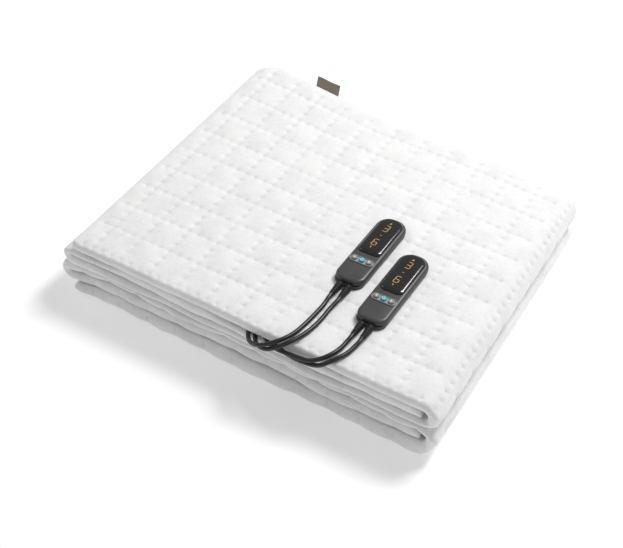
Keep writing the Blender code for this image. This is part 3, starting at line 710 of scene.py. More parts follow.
    def heights(self, x: np.ndarray, ahead: np.ndarray, level: np.ndarray) -> np.ndarray:
        """Press the layers to the heights that they have in the stack.

        Args:
            x: Places across the stack.
            ahead: Distances behind its front.
            level: Heights that the folds alone would give, from the stack's middle.

        Returns:
            Heights over the floor.
        """
        flat = self.flat_levels
        along = np.interp(level, flat, self.levels)
        left = np.interp(level, flat, self.left_levels)
        share = np.clip((x - self.left) / self.left_zone, 0.0, 1.0)
        z = along * share + left * (1.0 - share)
        z = z + np.clip(level - flat[-1], 0.0, None) + np.clip(level - flat[0], None, 0.0) * 0.15
        near = np.exp(-np.clip(ahead, 0.0, None) / 0.045)
        mouth = smoothstep(x, self.cord_mouth[0] - 0.035, self.cord_mouth[0])
        mouth = mouth * (1.0 - smoothstep(x, self.cord_mouth[1], self.cord_mouth[1] + 0.035))
        rise = np.interp(level, [flat[8], flat[9], flat[10]], [0.0, 1.0, 0.0])
        away = smoothstep(x, self.left + 0.02, self.left + 0.09)
        z = z + self.front_lift * rise * near * (1.0 - mouth) * away
        inner = np.interp(level, [flat[0], flat[2], flat[8], flat[9]], [0.0, 1.0, 1.0, 0.0])
        return z + self.layer_ripple.at(x) * inner * near

    def place(self, u: np.ndarray, v: np.ndarray, w: np.ndarray) -> np.ndarray:
        """Sheet coordinates to points of the frame.

        Args:
            u: Place across the sheet.
            v: Place along it.
            w: Height out of its middle plane.

        Returns:
            An array of points.
        """
        b = self.u_marks
        y_flat, z_flat = self.fold_hems(v, w)
        x, height = self.fold_thirds(u, y_flat, z_flat)
        slip = smoothstep(y_flat, self.back, self.run)
        under = np.clip((y_flat - self.back) / (self.back_arc * 0.6), 0.0, 1.0)
        y_flat = y_flat + self.recess(u, y_flat)
        rise = height + self.pitch + self.half_gap
        turn = np.clip((y_flat - self.back) / self.back_arc, 0.0, 1.0) * math.pi
        ahead = np.where(y_flat <= self.back, y_flat, self.back + self.back_flatten * rise * np.sin(turn))
        ahead = np.where(y_flat >= self.back + self.back_arc, 2 * self.back + self.back_arc - y_flat, ahead)
        z = self.heights(x, ahead, rise * np.cos(turn))
        towards_back = np.clip(ahead / self.back, 0.0, 1.0)
        y = self.front + ahead + np.interp(x, self.back_places, self.back_out) * towards_back ** 2
        lift = np.interp(x, self.back_places, self.back_up) * towards_back ** 4
        z = z + lift * np.clip((z - self.levels[9]) / (self.levels[11] - self.levels[9]), 0.0, 1.0)
        across = np.clip((x - self.left) / (self.right - self.left), 0.0, 1.0)
        lean = np.where(u >= b[3], 1.0 - (1.0 - across) * under, across)
        x = x - self.lean * ahead * lean - self.slip * slip * (1.0 - across)
        return np.stack([x, y, np.maximum(z, 0.0)], axis=-1) + np.array(PLACE.origin)

    def dotted(self, start: float, end: float, origin: float, offsets: tuple[float, ...]) -> np.ndarray:
        """Grid lines at every row of dots between two places.

        Args:
            start: Where the lines begin.
            end: Where they end.
            origin: Where one row of dots lies.
            offsets: Where lines lie beside each row.

        Returns:
            The lines' places.
        """
        first = math.floor((start - origin) / self.dot_pitch) - 1
        last = math.ceil((end - origin) / self.dot_pitch) + 1
        rows = origin + np.arange(first, last + 1)[:, None] * self.dot_pitch + np.array(offsets)[None, :]
        rows = rows.ravel()
        return rows[(rows > start + 0.0006) & (rows < end - 0.0006)]

    def fine_lines(self) -> Lines:
        """Grid lines of the face that shows: close where dots, folds and hems show.

        Returns:
            The lines across and along the sheet.
        """
        b, c = self.u_marks, self.v_marks
        wide, full = (-0.0018, 0.0, 0.0018), (-0.0018, 0.0, 0.0018, self.dot_pitch / 2)
        hems = [0.0, 0.0006, 0.0018, 0.0036]
        u = [hems, self.dotted(0.006, b[1], self.u_dots, wide), np.linspace(b[1], b[2], 15),
             self.dotted(b[2], b[3], self.u_dots, wide), np.linspace(b[3], b[4], 25),
             self.dotted(b[4], b[5] - 0.006, self.u_dots, full), self.length_u - np.array(hems)]
        start, end = c[2] + self.back, c[2] + self.back + self.back_arc
        steps = np.arange(0.003, 0.026, 0.0033)
        v = [hems, self.dotted(0.006, c[1], self.v_dots, full), np.linspace(c[1], c[2], 13), c[2] + steps,
             np.arange(c[2] + 0.05, start - 0.01, 0.0267),
             self.dotted(start, end, self.v_dots, full), [start, end],
             np.arange(end + 0.02, c[3] - 0.04, 0.0267), c[3] - steps, np.linspace(c[3], c[4], 13),
             c[4] + steps, np.arange(c[4] + 0.05, c[5] - 0.01, 0.0267), self.length_v - np.array(hems)]
        return np.unique(np.round(np.concatenate(u), 6)), np.unique(np.round(np.concatenate(v), 6))

    def plain_lines(self) -> Lines:
        """Grid lines of the face that lies inside the hems, which is plain.

        Returns:
            The lines across and along the sheet.
        """
        b, c = self.u_marks, self.v_marks
        zone = self.left_zone
        u = [[0.0, 0.0018, 0.0036], np.linspace(self.corner, b[1] - zone, 6),
             np.linspace(b[1] - zone, b[1], 5), np.linspace(b[1], b[2], 9),
             np.linspace(b[2], b[2] + zone, 5), np.linspace(b[2] + zone, b[3], 6),
             np.linspace(b[3], b[4], 13), np.linspace(b[4], b[5] - zone, 6),
             np.linspace(b[5] - zone, b[5] - 0.0036, 5), [self.length_u - 0.0018, self.length_u]]
        start, end = c[2] + self.back, c[2] + self.back + self.back_arc
        v = [[0.0, 0.0018, 0.0036], np.linspace(self.flap_turn, c[1], 8), np.linspace(c[1], c[2], 7),
             np.linspace(c[2], start, 8), np.linspace(start, end, 15), np.linspace(end, c[3], 8),
             np.linspace(c[3], c[4], 7), np.linspace(c[4], c[5] - self.flap_turn, 8),
             [self.length_v - 0.0036, self.length_v - 0.0018, self.length_v]]
        return np.unique(np.round(np.concatenate(u), 6)), np.unique(np.round(np.concatenate(v), 6))

    def face(self, lines: Lines, outer: bool) -> np.ndarray:
        """Points of one of the sheet's two faces.

        Args:
            lines: Its grid lines.
            outer: Whether it is the quilted face.

        Returns:
            An array of points.
        """
        u, v = np.meshgrid(*lines, indexing="ij")
        half = self.thickness / 2 * self.hem_share(u, v)
        return self.place(u, v, half + self.quilting(u, v) if outer else -half)

    def build(self, mat: bpy.types.Material) -> bpy.types.Object:
        """The quilted sheet as one closed mesh.

        Args:
            mat: Its cloth.

        Returns:
            The object.
        """
        fine, plain = self.fine_lines(), self.plain_lines()
        outer, inner = self.face(fine, True), self.face(plain, False)
        rows, columns = outer.shape[:2]
        under = rows * columns
        plain_rows, plain_columns = inner.shape[:2]
        points = np.concatenate([outer.reshape(-1, 3), inner.reshape(-1, 3)])
        faces = grid_quads(rows, columns, 0)
        faces += [q[::-1] for q in grid_quads(plain_rows, plain_columns, under)]
        last, plain_last = (rows - 1) * columns, under + (plain_rows - 1) * plain_columns
        for first, second in ((0, under), (last, plain_last)):
            faces += stitch(range(first, first + columns), fine[1],
                            range(second, second + plain_columns), plain[1])
        for first, second in ((0, under), (columns - 1, under + plain_columns - 1)):
            faces += stitch(range(first, rows * columns, columns), fine[0],
                            range(second, len(points), plain_columns), plain[0])
        obj = new_object("quilted_blanket", points, faces, mat, smooth=80.0)
        LOG.info("blanket: %d x %d lines, sheet %.2f x %.2f m", rows, columns, self.length_u, self.length_v)
        return obj


# ------------------------------------------------------------------ hand controllers
@dataclass(frozen=True)
class HandsetSize:
    """Sizes of a hand controller, in its own frame: +Y to its far end, Z up from its foot."""

    length: float = 0.121
    width: float = 0.0365
    corner: float = 0.0165
    base_height: float = 0.0046
    shell_top: float = 0.0114
    window_length: float = 0.0680
    window_width: float = 0.0315
    window_margin: float = 0.0028
    window_near: float = 0.0080
    window_far: float = 0.0140
    window_crown: float = 0.00045
    near_corner_share: float = 0.75
    cover_short: float = 0.003
    figures_up: float = 0.0031
    bezel_y: float = -0.0230
    bezel: tuple[float, float] = (0.0300, 0.0100)
    button_pitch: float = 0.0092
    button_radius: float = 0.0034
    travel: float = 0.0008
    guard_apart: float = 0.0110
    guard_length: float = 0.0200
    guard_height: float = 0.0051
    guard_ribs: int = 5
    rib_pitch: float = 0.0032
    rib_radius: float = 0.0043
    rib_taper: float = 0.00022
    gap: float = 0.0003


SIZE = HandsetSize()
# column and row of the quilting's grid, and turn in degrees
SPOTS = {Side.LEFT: (5.09, -0.09, 1.5), Side.RIGHT: (6.38, -1.09, 1.5)}
LEAST_CORNER = 0.0003


def round_outline(width: float, length: float, near: float, far: float, inset: float = 0.0,
                  steps: int = 14) -> Outline:
    """Outline of a rectangle with round corners, one radius at each end.

    Args:
        width: Across X.
        length: Along Y.
        near: Corner radius at the -Y end.
        far: Corner radius at the +Y end.
        inset: How far inside the outline lies.
        steps: Steps in each corner.

    Returns:
        A list of (x, y).
    """
    half_w, half_l = width / 2 - inset, length / 2 - inset
    points = []
    for turn, (side, end, radius) in enumerate(((1, -1, near), (1, 1, far), (-1, 1, far), (-1, -1, near))):
        r = max(min(radius - inset, half_w), LEAST_CORNER)
        middle_x, middle_y = side * (half_w - r), end * (half_l - r)
        start = (turn - 1) * math.pi / 2
        for step in range(steps + 1):
            angle = start + step / steps * math.pi / 2
            points.append((middle_x + r * math.cos(angle), middle_y + r * math.sin(angle)))
    return points


def stacked(outline: Callable[[float], Outline], rings: list[tuple[float, float]], shift: float = 0.0,
            crown: float = 0.0, crown_rings: int = 0) -> Solid:
    """A solid of one outline at several insets and heights, with an arched top.

    Args:
        outline: Function from inset to a list of (x, y).
        rings: (inset, height) from the foot up.
        shift: How far the whole lies along Y.
        crown: How much its middle rises over the last ring.
        crown_rings: How many rings the crown has.

    Returns:
        Its points and faces.
    """
    loops = [[(x, y + shift, height) for x, y in outline(inset)] for inset, height in rings]
    edge, top = loops[-1], rings[-1][1]
    for ring in range(1, crown_rings + 1):
        share = 1.0 - ring / (crown_rings + 1)
        rise = crown * (1.0 - share ** 2)
        loops.append([(x * share, shift + (y - shift) * share, top + rise) for x, y, _ in edge])
    count = len(edge)
    points = [p for loop in loops for p in loop]
    faces = []
    for ring in range(len(loops) - 1):
        for i in range(count):
            a, b = ring * count + i, ring * count + (i + 1) % count
            faces.append((a, b, b + count, a + count))
    faces.append(tuple(range(count - 1, -1, -1)))
    points.append((0.0, shift, top + crown))
    last = (len(loops) - 1) * count
    faces.extend((last + i, last + (i + 1) % count, len(points) - 1) for i in range(count))
    return points, faces


def turned(profile: list[tuple[float, float]], sides: int = 32, upright: bool = False) -> Solid:
    """A solid turned about -Y, or about Z if upright.

    Args:
        profile: Distances along the axis, each with its radius.
        sides: How many sides stand for its round.
        upright: Whether the axis is Z.

    Returns:
        Its points and faces.
    """
    points, faces = [], []
    for along, radius in profile:
        for i in range(sides):
            angle = 2 * math.pi * i / sides
            c, s = radius * math.cos(angle), radius * math.sin(angle)
            points.append((c, s, along) if upright else (c, -along, s))
    for ring in range(len(profile) - 1):
        for i in range(sides):
            a, b = ring * sides + i, ring * sides + (i + 1) % sides
            faces.append((a, b, b + sides, a + sides))
    faces.append(tuple(range(sides)))
    faces.append(tuple((len(profile) - 1) * sides + i for i in range(sides - 1, -1, -1)))
    return points, faces


def slab(corners: Outline, low: float, high: float) -> Solid:
    """A thin plate.

    Args:
        corners: Its outline.
        low: Height of its underside.
        high: Height of its face.

    Returns:
        Its points and faces.
    """
    count = len(corners)
    points = [(x, y, z) for z in (low, high) for x, y in corners]
    faces = [(i, (i + 1) % count, count + (i + 1) % count, count + i) for i in range(count)]
    faces += [tuple(range(count - 1, -1, -1)), tuple(range(count, 2 * count))]
    return points, faces


def moved(solid: Solid, matrix: Matrix) -> Solid:
    """A solid through a matrix."""
    points, faces = solid
    return [tuple(matrix @ Vector(p)) for p in points], faces


SEGMENTS = {"3": "abgcd", "6": "afgedc"}


def digit(figure: str, centre: tuple[float, float], low: float, high: float) -> list[Solid]:
    """The lit bars of one seven-segment figure, upright towards the handset's far end.

    Args:
        figure: Which figure.
        centre: Its middle on the window.
        low: Height of the bars' underside.
        high: Height of their face.

    Returns:
        Its bars.
    """
    tall, wide, bar, slant = 0.0104, 0.0054, 0.00075, 0.08
    half_t, half_w = tall / 2, wide / 2
    bars = {
        "a": (0.0, half_t, True), "g": (0.0, 0.0, True), "d": (0.0, -half_t, True),
        "b": (half_w, half_t / 2, False), "c": (half_w, -half_t / 2, False),
        "f": (-half_w, half_t / 2, False), "e": (-half_w, -half_t / 2, False)}
    solids = []
    for name in SEGMENTS[figure]:
        across, up, level = bars[name]
        reach, tip = (wide if level else half_t) / 2 - bar * 0.8, bar / 2
        shape = [(-reach - tip, 0.0), (-reach, -tip), (reach, -tip),
                 (reach + tip, 0.0), (reach, tip), (-reach, tip)]
        if not level:
            shape = [(-y, x) for x, y in shape]
        corners = [(centre[0] + across + x + (up + y) * slant, centre[1] + up + y) for x, y in shape]
        solids.append(slab(corners, low, high))
    return solids


def bar_mark(centre: tuple[float, float], size: tuple[float, float], low: float, high: float) -> Solid:
    """A small plain lit bar.

    Args:
        centre: Its middle.
        size: Its width and length.
        low: Height of its underside.
        high: Height of its face.

    Returns:
        Its points and faces.
    """
    (x, y), (a, b) = centre, (size[0] / 2, size[1] / 2)
    return slab([(x - a, y - b), (x + a, y - b), (x + a, y + b), (x - a, y + b)], low, high)


@dataclass
class Handset:
    """One hand controller: its case, window, lit figures, buttons and cord guards."""

    side: Side
    mats: dict[str, bpy.types.Material]

    @property
    def matrix(self) -> Matrix:
        """Its place on the stack.

        Returns:
            The matrix from its own frame to the shared one.
        """
        column, row, turn = SPOTS[self.side]
        place = PLACE.at(column, row)
        place.z = PLACE.top + SIZE.gap
        return Matrix.Translation(place) @ Matrix.Rotation(math.radians(turn), 4, "Z")

    def node(self, part: str) -> str:
        """Name of one of its CAD nodes."""
        return f"handset_{self.side.value}_{part}"

    def show(self, part: str, solids: list[Solid], mat: str, body: str = ROOT,
             smooth: float = 40.0) -> bpy.types.Object:
        """A piece of it that stands for a CAD node and rides on its body.

        Args:
            part: The node's name without the handset's own.
            solids: Its solids, in the handset's frame.
            mat: Its material's name.
            body: The body that it rides on.
            smooth: Edges sharper than this many degrees stay sharp.

        Returns:
            The object.
        """
        placed = [moved(s, self.matrix) for s in solids]
        obj = join_meshes(f"{self.node(part)}_look", placed, self.mats[mat], smooth)
        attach(obj, body)
        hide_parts(self.node(part))
        return obj

    @staticmethod
    def guard_root(cord: Cord) -> Vector:
        """Where a cord's guard starts, in the handset's frame."""
        x = SIZE.guard_apart / 2 * (-1 if cord is Cord.A else 1)
        return Vector((x, -SIZE.length / 2 - SIZE.gap, SIZE.guard_height))

    def guard_tip(self, cord: Cord) -> tuple[Vector, Vector]:
        """Where a cord leaves its guard and which way it points."""
        tip = self.matrix @ (self.guard_root(cord) - Vector((0.0, SIZE.guard_length, 0.0)))
        return tip, self.matrix.to_3x3() @ Vector((0.0, -1.0, 0.0))

    def build(self) -> None:
        """All its pieces."""
        size, low = SIZE, SIZE.base_height + SIZE.gap

        near_corner = size.corner * size.near_corner_share

        def case(inset: float) -> Outline:
            """The base's outline."""
            return round_outline(size.width, size.length, near_corner, size.corner, inset)

        def cover(inset: float) -> Outline:
            """The shell's outline."""
            return round_outline(size.width, size.length - size.cover_short, near_corner, size.corner, inset)

        def window(inset: float) -> Outline:
            """The display window's outline."""
            near, far = size.window_near, size.window_far
            return round_outline(size.window_width, size.window_length, near, far, inset)

        # each ring of an edge is its inset and its height
        rings = [(0.0032, 0.0), (0.0020, 0.0003), (0.0011, 0.0011), (0.0006, 0.0024),
                 (0.0005, size.base_height - 0.0003), (0.0009, size.base_height)]
        self.show("base", [stacked(case, rings)], "handset_base")
        rings = [(0.0006, low), (0.0001, low + 0.0004), (0.0, low + 0.0012), (0.0, 0.0078), (0.0003, 0.0090),
                 (0.0009, 0.0099), (0.0019, 0.0107), (0.0031, 0.0112), (0.0044, size.shell_top - 0.00005)]
        self.show("shell", [stacked(cover, rings, size.cover_short / 2)], "handset_case")
        face = size.shell_top + size.gap
        window_y = size.length / 2 - size.window_margin - size.window_length / 2
        rings = [(0.0020, size.shell_top - 0.0004), (0.0012, face + 0.0001), (0.0011, face + 0.0006),
                 (0.0015, face + 0.0012), (0.0024, face + 0.0018), (0.0038, face + 0.0023),
                 (0.0056, face + 0.00255)]
        glass = stacked(window, rings, window_y, size.window_crown, 5)
        self.show("window", [glass], "display_window")
        self.lit_figures(face + size.figures_up)
        self.button_strip(face)
        for cord in Cord:
            start = Matrix.Translation(self.guard_root(cord))
            solid = moved(turned(self.guard_profile(), 24), start)
            self.show(f"guard_{cord.value}", [solid], "cord_guard", smooth=50.0)
        LOG.info("handset %s", self.side.value)

    def lit_figures(self, face: float) -> None:
        """The amber figures and bars just over the window.

        Args:
            face: Height of the window there.
        """
        far, x = SIZE.length / 2, -0.0005
        low, high = face - 0.0009, face + 0.00005
        solids = [bar_mark((x + 0.0002, far - 0.0155), (0.0026, 0.0009), low, high),
                  bar_mark((x + 0.0006, far - 0.0139), (0.0012, 0.0010), low, high)]
        solids += digit("3", (x, far - 0.0248), low, high)
        solids += [bar_mark((x - 0.0002, far - 0.0380), (0.0022, 0.0006), low, high)]
        solids += digit("6", (x - 0.0004, far - 0.0512), low, high)
        solids += [bar_mark((x - 0.0010, far - 0.0605), (0.0010, 0.0024), low, high)]
        name = f"{self.node('figures')}_look"
        obj = join_meshes(name, [moved(s, self.matrix) for s in solids], self.mats["marks"], 20.0)
        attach(obj, ROOT)

    def button_strip(self, face: float) -> None:
        """The surround, the floor inside it and the three buttons with their symbols.

        Args:
            face: Height of the shell's face, with its gap.
        """
        size = SIZE
        width, depth = size.bezel

        def pill(inset: float) -> Outline:
            """The surround's outline."""
            return round_outline(width, depth, depth / 2, depth / 2, inset, 12)

        outer, inner = pill(0.0), pill(0.0009)
        count = len(outer)
        rings = [(outer, face - 0.0001), (outer, face + 0.0007), (pill(0.0003), face + 0.0010),
                 (pill(0.0007), face + 0.0010), (inner, face + 0.0006), (inner, face - 0.0001)]
        points = [(x, y + size.bezel_y, z) for loop, z in rings for x, y in loop]
        faces = []
        for ring in range(len(rings)):
            after = (ring + 1) % len(rings)
            for i in range(count):
                j = (i + 1) % count
                faces.append((ring * count + i, ring * count + j, after * count + j, after * count + i))
        floor = stacked(pill, [(0.0011, face - 0.0002), (0.0011, face + 0.00015)], size.bezel_y)
        self.show("bezel", [(points, faces)], "button_surround")
        name = f"{self.node('strip')}_look"
        tray = join_meshes(name, [moved(floor, self.matrix)], self.mats["button_surround"])
        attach(tray, ROOT)
        foot = face + size.travel + size.gap
        for index, kind in enumerate(("down", "power", "up")):
            x = (index - 1) * size.button_pitch
            radius, body = size.button_radius, f"{self.side.value}_{kind}_button"
            profile = [(foot, radius), (foot + 0.0008, radius), (foot + 0.00115, radius - 0.0002),
                       (foot + 0.0014, radius - 0.0007), (foot + 0.0013, radius - 0.0016)]
            at = Matrix.Translation((x, size.bezel_y, 0.0))
            finish = "button_power" if kind == "power" else "button_grey"
            button = self.show(f"button_{kind}", [moved(turned(profile, 32, True), at)], finish, body)
            top = foot + 0.0013
            symbol = self.symbol(kind, top - 0.0002, top + 0.00022)
            placed = [moved(s, self.matrix @ at) for s in symbol]
            mark = join_meshes(f"{self.node('symbol')}_{kind}", placed, self.mats["symbols"], 20.0)
            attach(mark, body)
            LOG.info("%s on %s", button.name, body)

    @staticmethod
    def symbol(kind: str, low: float, high: float) -> list[Solid]:
        """A button's raised symbol: a triangle to either side, or a ring with a stroke.

        Args:
            kind: Which button: down, power or up.
            low: Height of the symbol's underside.
            high: Height of its face.

        Returns:
            Its solids.
        """
        if kind != "power":
            way = -1.0 if kind == "down" else 1.0
            reach = 0.0015
            back = -way * reach * 0.7
            return [slab([(way * reach, 0.0), (back, reach), (back, -reach)], low, high)]
        solids, steps, inner, outer = [], 18, 0.0013, 0.0018
        for step in range(2, steps - 2):
            start, end = (math.pi / 2 + 2 * math.pi * (step + k) / steps for k in (0.0, 1.0))
            corners = ((inner, start), (outer, start), (outer, end), (inner, end))
            solids.append(slab([(r * math.cos(t), r * math.sin(t)) for r, t in corners], low, high))
        half, foot, top = 0.00025, 0.0006, 0.0020
        solids.append(slab([(-half, foot), (half, foot), (half, top), (-half, top)], low, high))
        return solids

    @staticmethod
    def guard_profile() -> list[tuple[float, float]]:
        """A tapered cord guard with rounded ribs.

        Returns:
            Distances from its root, each with its radius.
        """
        profile = [(0.0, 0.0038), (0.0004, 0.0042), (0.0024, 0.0043)]
        for rib in range(SIZE.guard_ribs):
            along, radius = 0.0034 + rib * SIZE.rib_pitch, SIZE.rib_radius - SIZE.rib_taper * rib
            profile += [(along - 0.0006, radius - 0.0010), (along - 0.0002, radius - 0.0003),
                        (along + 0.0002, radius), (along + 0.0009, radius),
                        (along + 0.0013, radius - 0.0003), (along + 0.0018, radius - 0.0010)]
        return profile + [(SIZE.guard_length - 0.0006, 0.0030), (SIZE.guard_length, 0.0027)]


# ------------------------------------------------------------------ cords
CORD_DIAMETER = 0.0050
LINE_STEP = 0.0025
FLOOR_LINE = CORD_DIAMETER / 2 + 0.0004
# over the front lip: column and row of the quilting's grid, and millimetres above it
FRONT_ROUTES = {
    (Side.LEFT, Cord.A): [(5.02, -2.45, 4.6), (5.015, -2.90, 4.2), (4.99, -3.40, 4.2), (4.93, -3.85, 4.4),
                          (4.79, -4.22, 4.6), (4.55, -4.49, 2.4), (4.29, -4.57, -3.0), (4.02, -4.49, -9.5),
                          (3.76, -4.30, -14.5), (3.56, -4.00, -16.0), (3.45, -3.60, -16.0)],
    (Side.LEFT, Cord.B): [(5.25, -2.55, 4.6), (5.26, -2.95, 4.2), (5.23, -3.44, 4.2), (5.13, -3.88, 4.4),
                          (4.98, -4.22, 3.9), (4.75, -4.45, -0.5), (4.46, -4.52, -6.8), (4.16, -4.42, -12.0),
                          (3.91, -4.20, -15.6), (3.74, -3.90, -16.0), (3.63, -3.50, -16.0)],
    (Side.RIGHT, Cord.A): [(6.28, -3.38, 5.2), (6.25, -3.68, 4.3), (6.16, -3.98, 4.3), (6.00, -4.22, 2.9),
                           (5.77, -4.35, -0.6), (5.48, -4.37, -3.5), (5.15, -4.36, -5.5),
                           (4.82, -4.33, -8.5), (4.45, -4.22, -13.0), (4.15, -4.02, -15.8),
                           (3.95, -3.72, -16.0), (3.83, -3.30, -16.0)],
    (Side.RIGHT, Cord.B): [(6.55, -3.38, 5.2), (6.50, -3.68, 4.3), (6.38, -3.98, 4.2), (6.23, -4.20, 1.9),
                           (6.02, -4.31, -3.4), (5.75, -4.33, -7.6), (5.40, -4.32, -9.9),
                           (5.05, -4.28, -11.6), (4.70, -4.16, -14.6), (4.38, -3.96, -16.0),
                           (4.15, -3.66, -16.0), (4.02, -3.25, -16.0)],
}
# through the top fold, and for a mains lead on to its hank, in metres
INSIDE_ROUTES = {
    (Side.LEFT, Cord.B): [(0.0260, -0.120, 0.067), (0.0275, -0.070, 0.067), (0.0270, -0.020, 0.067)],
    (Side.RIGHT, Cord.B): [(0.0530, -0.120, 0.067), (0.0680, -0.050, 0.067), (0.0800, 0.030, 0.067),
                           (0.0850, 0.110, 0.067)],
    (Side.LEFT, Cord.A): [
        (0.0150, -0.140, 0.067), (0.0080, -0.080, 0.067), (-0.0150, -0.010, 0.067),
        (-0.0600, 0.065, 0.067), (-0.1200, 0.117, 0.067), (-0.1750, 0.1350, 0.067),
        (-0.2200, 0.1370, 0.067), (-0.2340, 0.1370, 0.0665), (-0.2440, 0.1370, 0.0632),
        (-0.2510, 0.1368, 0.0560), (-0.2543, 0.1365, 0.0450), (-0.2556, 0.1370, 0.0330),
        (-0.2572, 0.1400, 0.0200), (-0.2590, 0.1470, 0.0095), (-0.2600, 0.1590, 0.0040),
        (-0.2605, 0.1750, FLOOR_LINE), (-0.2605, 0.2020, FLOOR_LINE), (-0.2590, 0.2240, FLOOR_LINE),
        (-0.2510, 0.2430, FLOOR_LINE), (-0.2370, 0.2530, FLOOR_LINE)],
    (Side.RIGHT, Cord.A): [
        (0.0350, -0.130, 0.067), (0.0395, -0.070, 0.067), (0.0415, -0.005, 0.067), (0.0300, 0.060, 0.067),
        (-0.0100, 0.115, 0.067), (-0.0750, 0.1430, 0.067), (-0.1500, 0.1490, 0.067), (-0.2200, 0.1490, 0.067),
        (-0.2330, 0.1490, 0.0665), (-0.2430, 0.1490, 0.0632), (-0.2500, 0.1490, 0.0560),
        (-0.2530, 0.1490, 0.0450), (-0.2536, 0.1500, 0.0310), (-0.2538, 0.1545, 0.0170),
        (-0.2538, 0.1640, 0.0070),
        (-0.2538, 0.1800, FLOOR_LINE), (-0.2530, 0.1960, FLOOR_LINE), (-0.2470, 0.2100, FLOOR_LINE),
        (-0.2350, 0.2185, FLOOR_LINE), (-0.2150, 0.2200, FLOOR_LINE), (-0.1700, 0.2195, FLOOR_LINE),
        (-0.1200, 0.2150, FLOOR_LINE), (-0.0750, 0.2110, FLOOR_LINE), (-0.0350, 0.2110, FLOOR_LINE)],
}


@dataclass(frozen=True)
class Hank:
    """Where a mains lead's tied hank and plug lie, before the move to the frame's origin."""

    start: tuple[float, float]
    enters: int
    plug: tuple[float, float]
    radius: float = 0.0150
    run: float = 0.0800
    layers: int = 4
    layer_step: float = 0.0052
    crossing: float = 0.0014
    foot: float = 0.0014
    bend_steps: int = 6
    plug_height: float = 0.0067

    def bend(self, middle: float, way: float, heights: list[float]) -> list[Point]:
        """Half a turn around one end of the hank.

        Args:
            middle: X of the bend's centre.
            way: 1 for the bend that starts on the entering side, -1 for the one back.
            heights: Height of each of its points.

        Returns:
            Its points.
        """
        points = []
        for step, z in enumerate(heights):
            angle = self.enters * (way * math.pi / 2 - math.pi * step / self.bend_steps)
            x, y = self.radius * math.cos(angle), self.radius * math.sin(angle)
            points.append((middle + x, self.start[1] + y, z))
        return points

    def route(self) -> list[Point]:
        """The lead around the hank.

        Returns:
            Points from the lead's arrival to the plug's tail.
        """
        (x, y), side = self.start, self.enters
        entering, leaving = y + side * self.radius, y - side * self.radius
        base = self.foot + CORD_DIAMETER / 2
        points = [(x - 0.010, entering, base - 0.0005)]
        for layer in range(self.layers):
            z = base + layer * self.layer_step
            final = layer == self.layers - 1
            points.append((x + 0.012, entering, z))
            if final and side > 0:
                points += [(x + self.run * 0.35, y + 0.011, z + 0.0004),
                           (x + self.run * 0.62, y - 0.006, z + 0.0006),
                           (x + self.run * 0.90, y - self.radius + 0.001, z)]
                break
            points += [(x + self.run * 0.5, entering, z), (x + self.run - 0.004, entering, z)]
            if final:
                break
            steps = range(self.bend_steps + 1)
            points += self.bend(x + self.run, 1.0, [z + 0.0001 * step for step in steps])
            points.append((x + self.run * 0.5, leaving, z + 0.001))
            rise = self.layer_step - self.crossing
            lifts = [self.crossing + rise * step / self.bend_steps for step in steps]
            points += self.bend(x, -1.0, [z + lift for lift in lifts])
        return points + self.tail(points[-1][2])

    def tail(self, height: float) -> list[Point]:
        """The lead from the hank's last turn to the plug.

        Args:
            height: Height of the last turn.

        Returns:
            Its points.
        """
        out, leaving = self.start[0] + self.run + 0.006, self.start[1] - self.radius
        tail_x, tail_y = self.plug
        tail_z = self.plug_height
        between = ((out + tail_x) / 2, (leaving + tail_y) / 2, (height + tail_z) / 2)
        return [(out, leaving, height - 0.0012), between,
                (tail_x - 0.006, tail_y - 0.0008, tail_z + 0.0005), (tail_x - 0.0004, tail_y, tail_z)]


HANKS = {
    Side.LEFT: Hank((-0.2150, 0.2410), 1, (-0.1000, 0.2370)),
    Side.RIGHT: Hank((0.0000, 0.2265), -1, (0.1180, 0.2240)),
}


def smooth_line(route: Sequence[Sequence[float]], step: float) -> np.ndarray:
    """Even points along a smooth curve through a route.

    Args:
        route: Points in metres.
        step: Distance between the new points.

    Returns:
        An array of points.
    """
    points = np.array([tuple(p) for p in route])
    spans = np.maximum(np.linalg.norm(np.diff(points, axis=0), axis=1), 1e-6) ** 0.5
    knots = np.concatenate([[0.0], np.cumsum(spans)])
    padded = np.vstack([2 * points[0] - points[1], points, 2 * points[-1] - points[-2]])
    marks = np.concatenate([[-spans[0]], knots, [knots[-1] + spans[-1]]])
    fine, parts = [], 24
    for i in range(len(points) - 1):
        t = np.linspace(marks[i + 1], marks[i + 2], parts, endpoint=False)[:, None]
        t0, t1, t2, t3 = marks[i:i + 4]
        p0, p1, p2, p3 = padded[i:i + 4]
        a1 = (t1 - t) / (t1 - t0) * p0 + (t - t0) / (t1 - t0) * p1
        a2 = (t2 - t) / (t2 - t1) * p1 + (t - t1) / (t2 - t1) * p2
        a3 = (t3 - t) / (t3 - t2) * p2 + (t - t2) / (t3 - t2) * p3
        b1 = (t2 - t) / (t2 - t0) * a1 + (t - t0) / (t2 - t0) * a2
        b2 = (t3 - t) / (t3 - t1) * a2 + (t - t1) / (t3 - t1) * a3
        fine.append((t2 - t) / (t2 - t1) * b1 + (t - t1) / (t2 - t1) * b2)
    fine = np.vstack(fine + [points[-1:]])
    along = np.concatenate([[0.0], np.cumsum(np.linalg.norm(np.diff(fine, axis=0), axis=1))])
    marks = np.linspace(0.0, along[-1], max(int(round(along[-1] / step)), 2) + 1)
    return np.stack([np.interp(marks, along, fine[:, k]) for k in range(3)], axis=-1)


def lead_fittings(side: Side) -> dict[str, str]:
    """CAD nodes that stay on a mains lead, each with its finish."""
    return {f"plug_{side.value}": "cord_sheath", f"plug_pin_{side.value}_a": "plug_pin",
            f"plug_pin_{side.value}_b": "plug_pin", f"hank_tie_{side.value}": "hank_tie"}


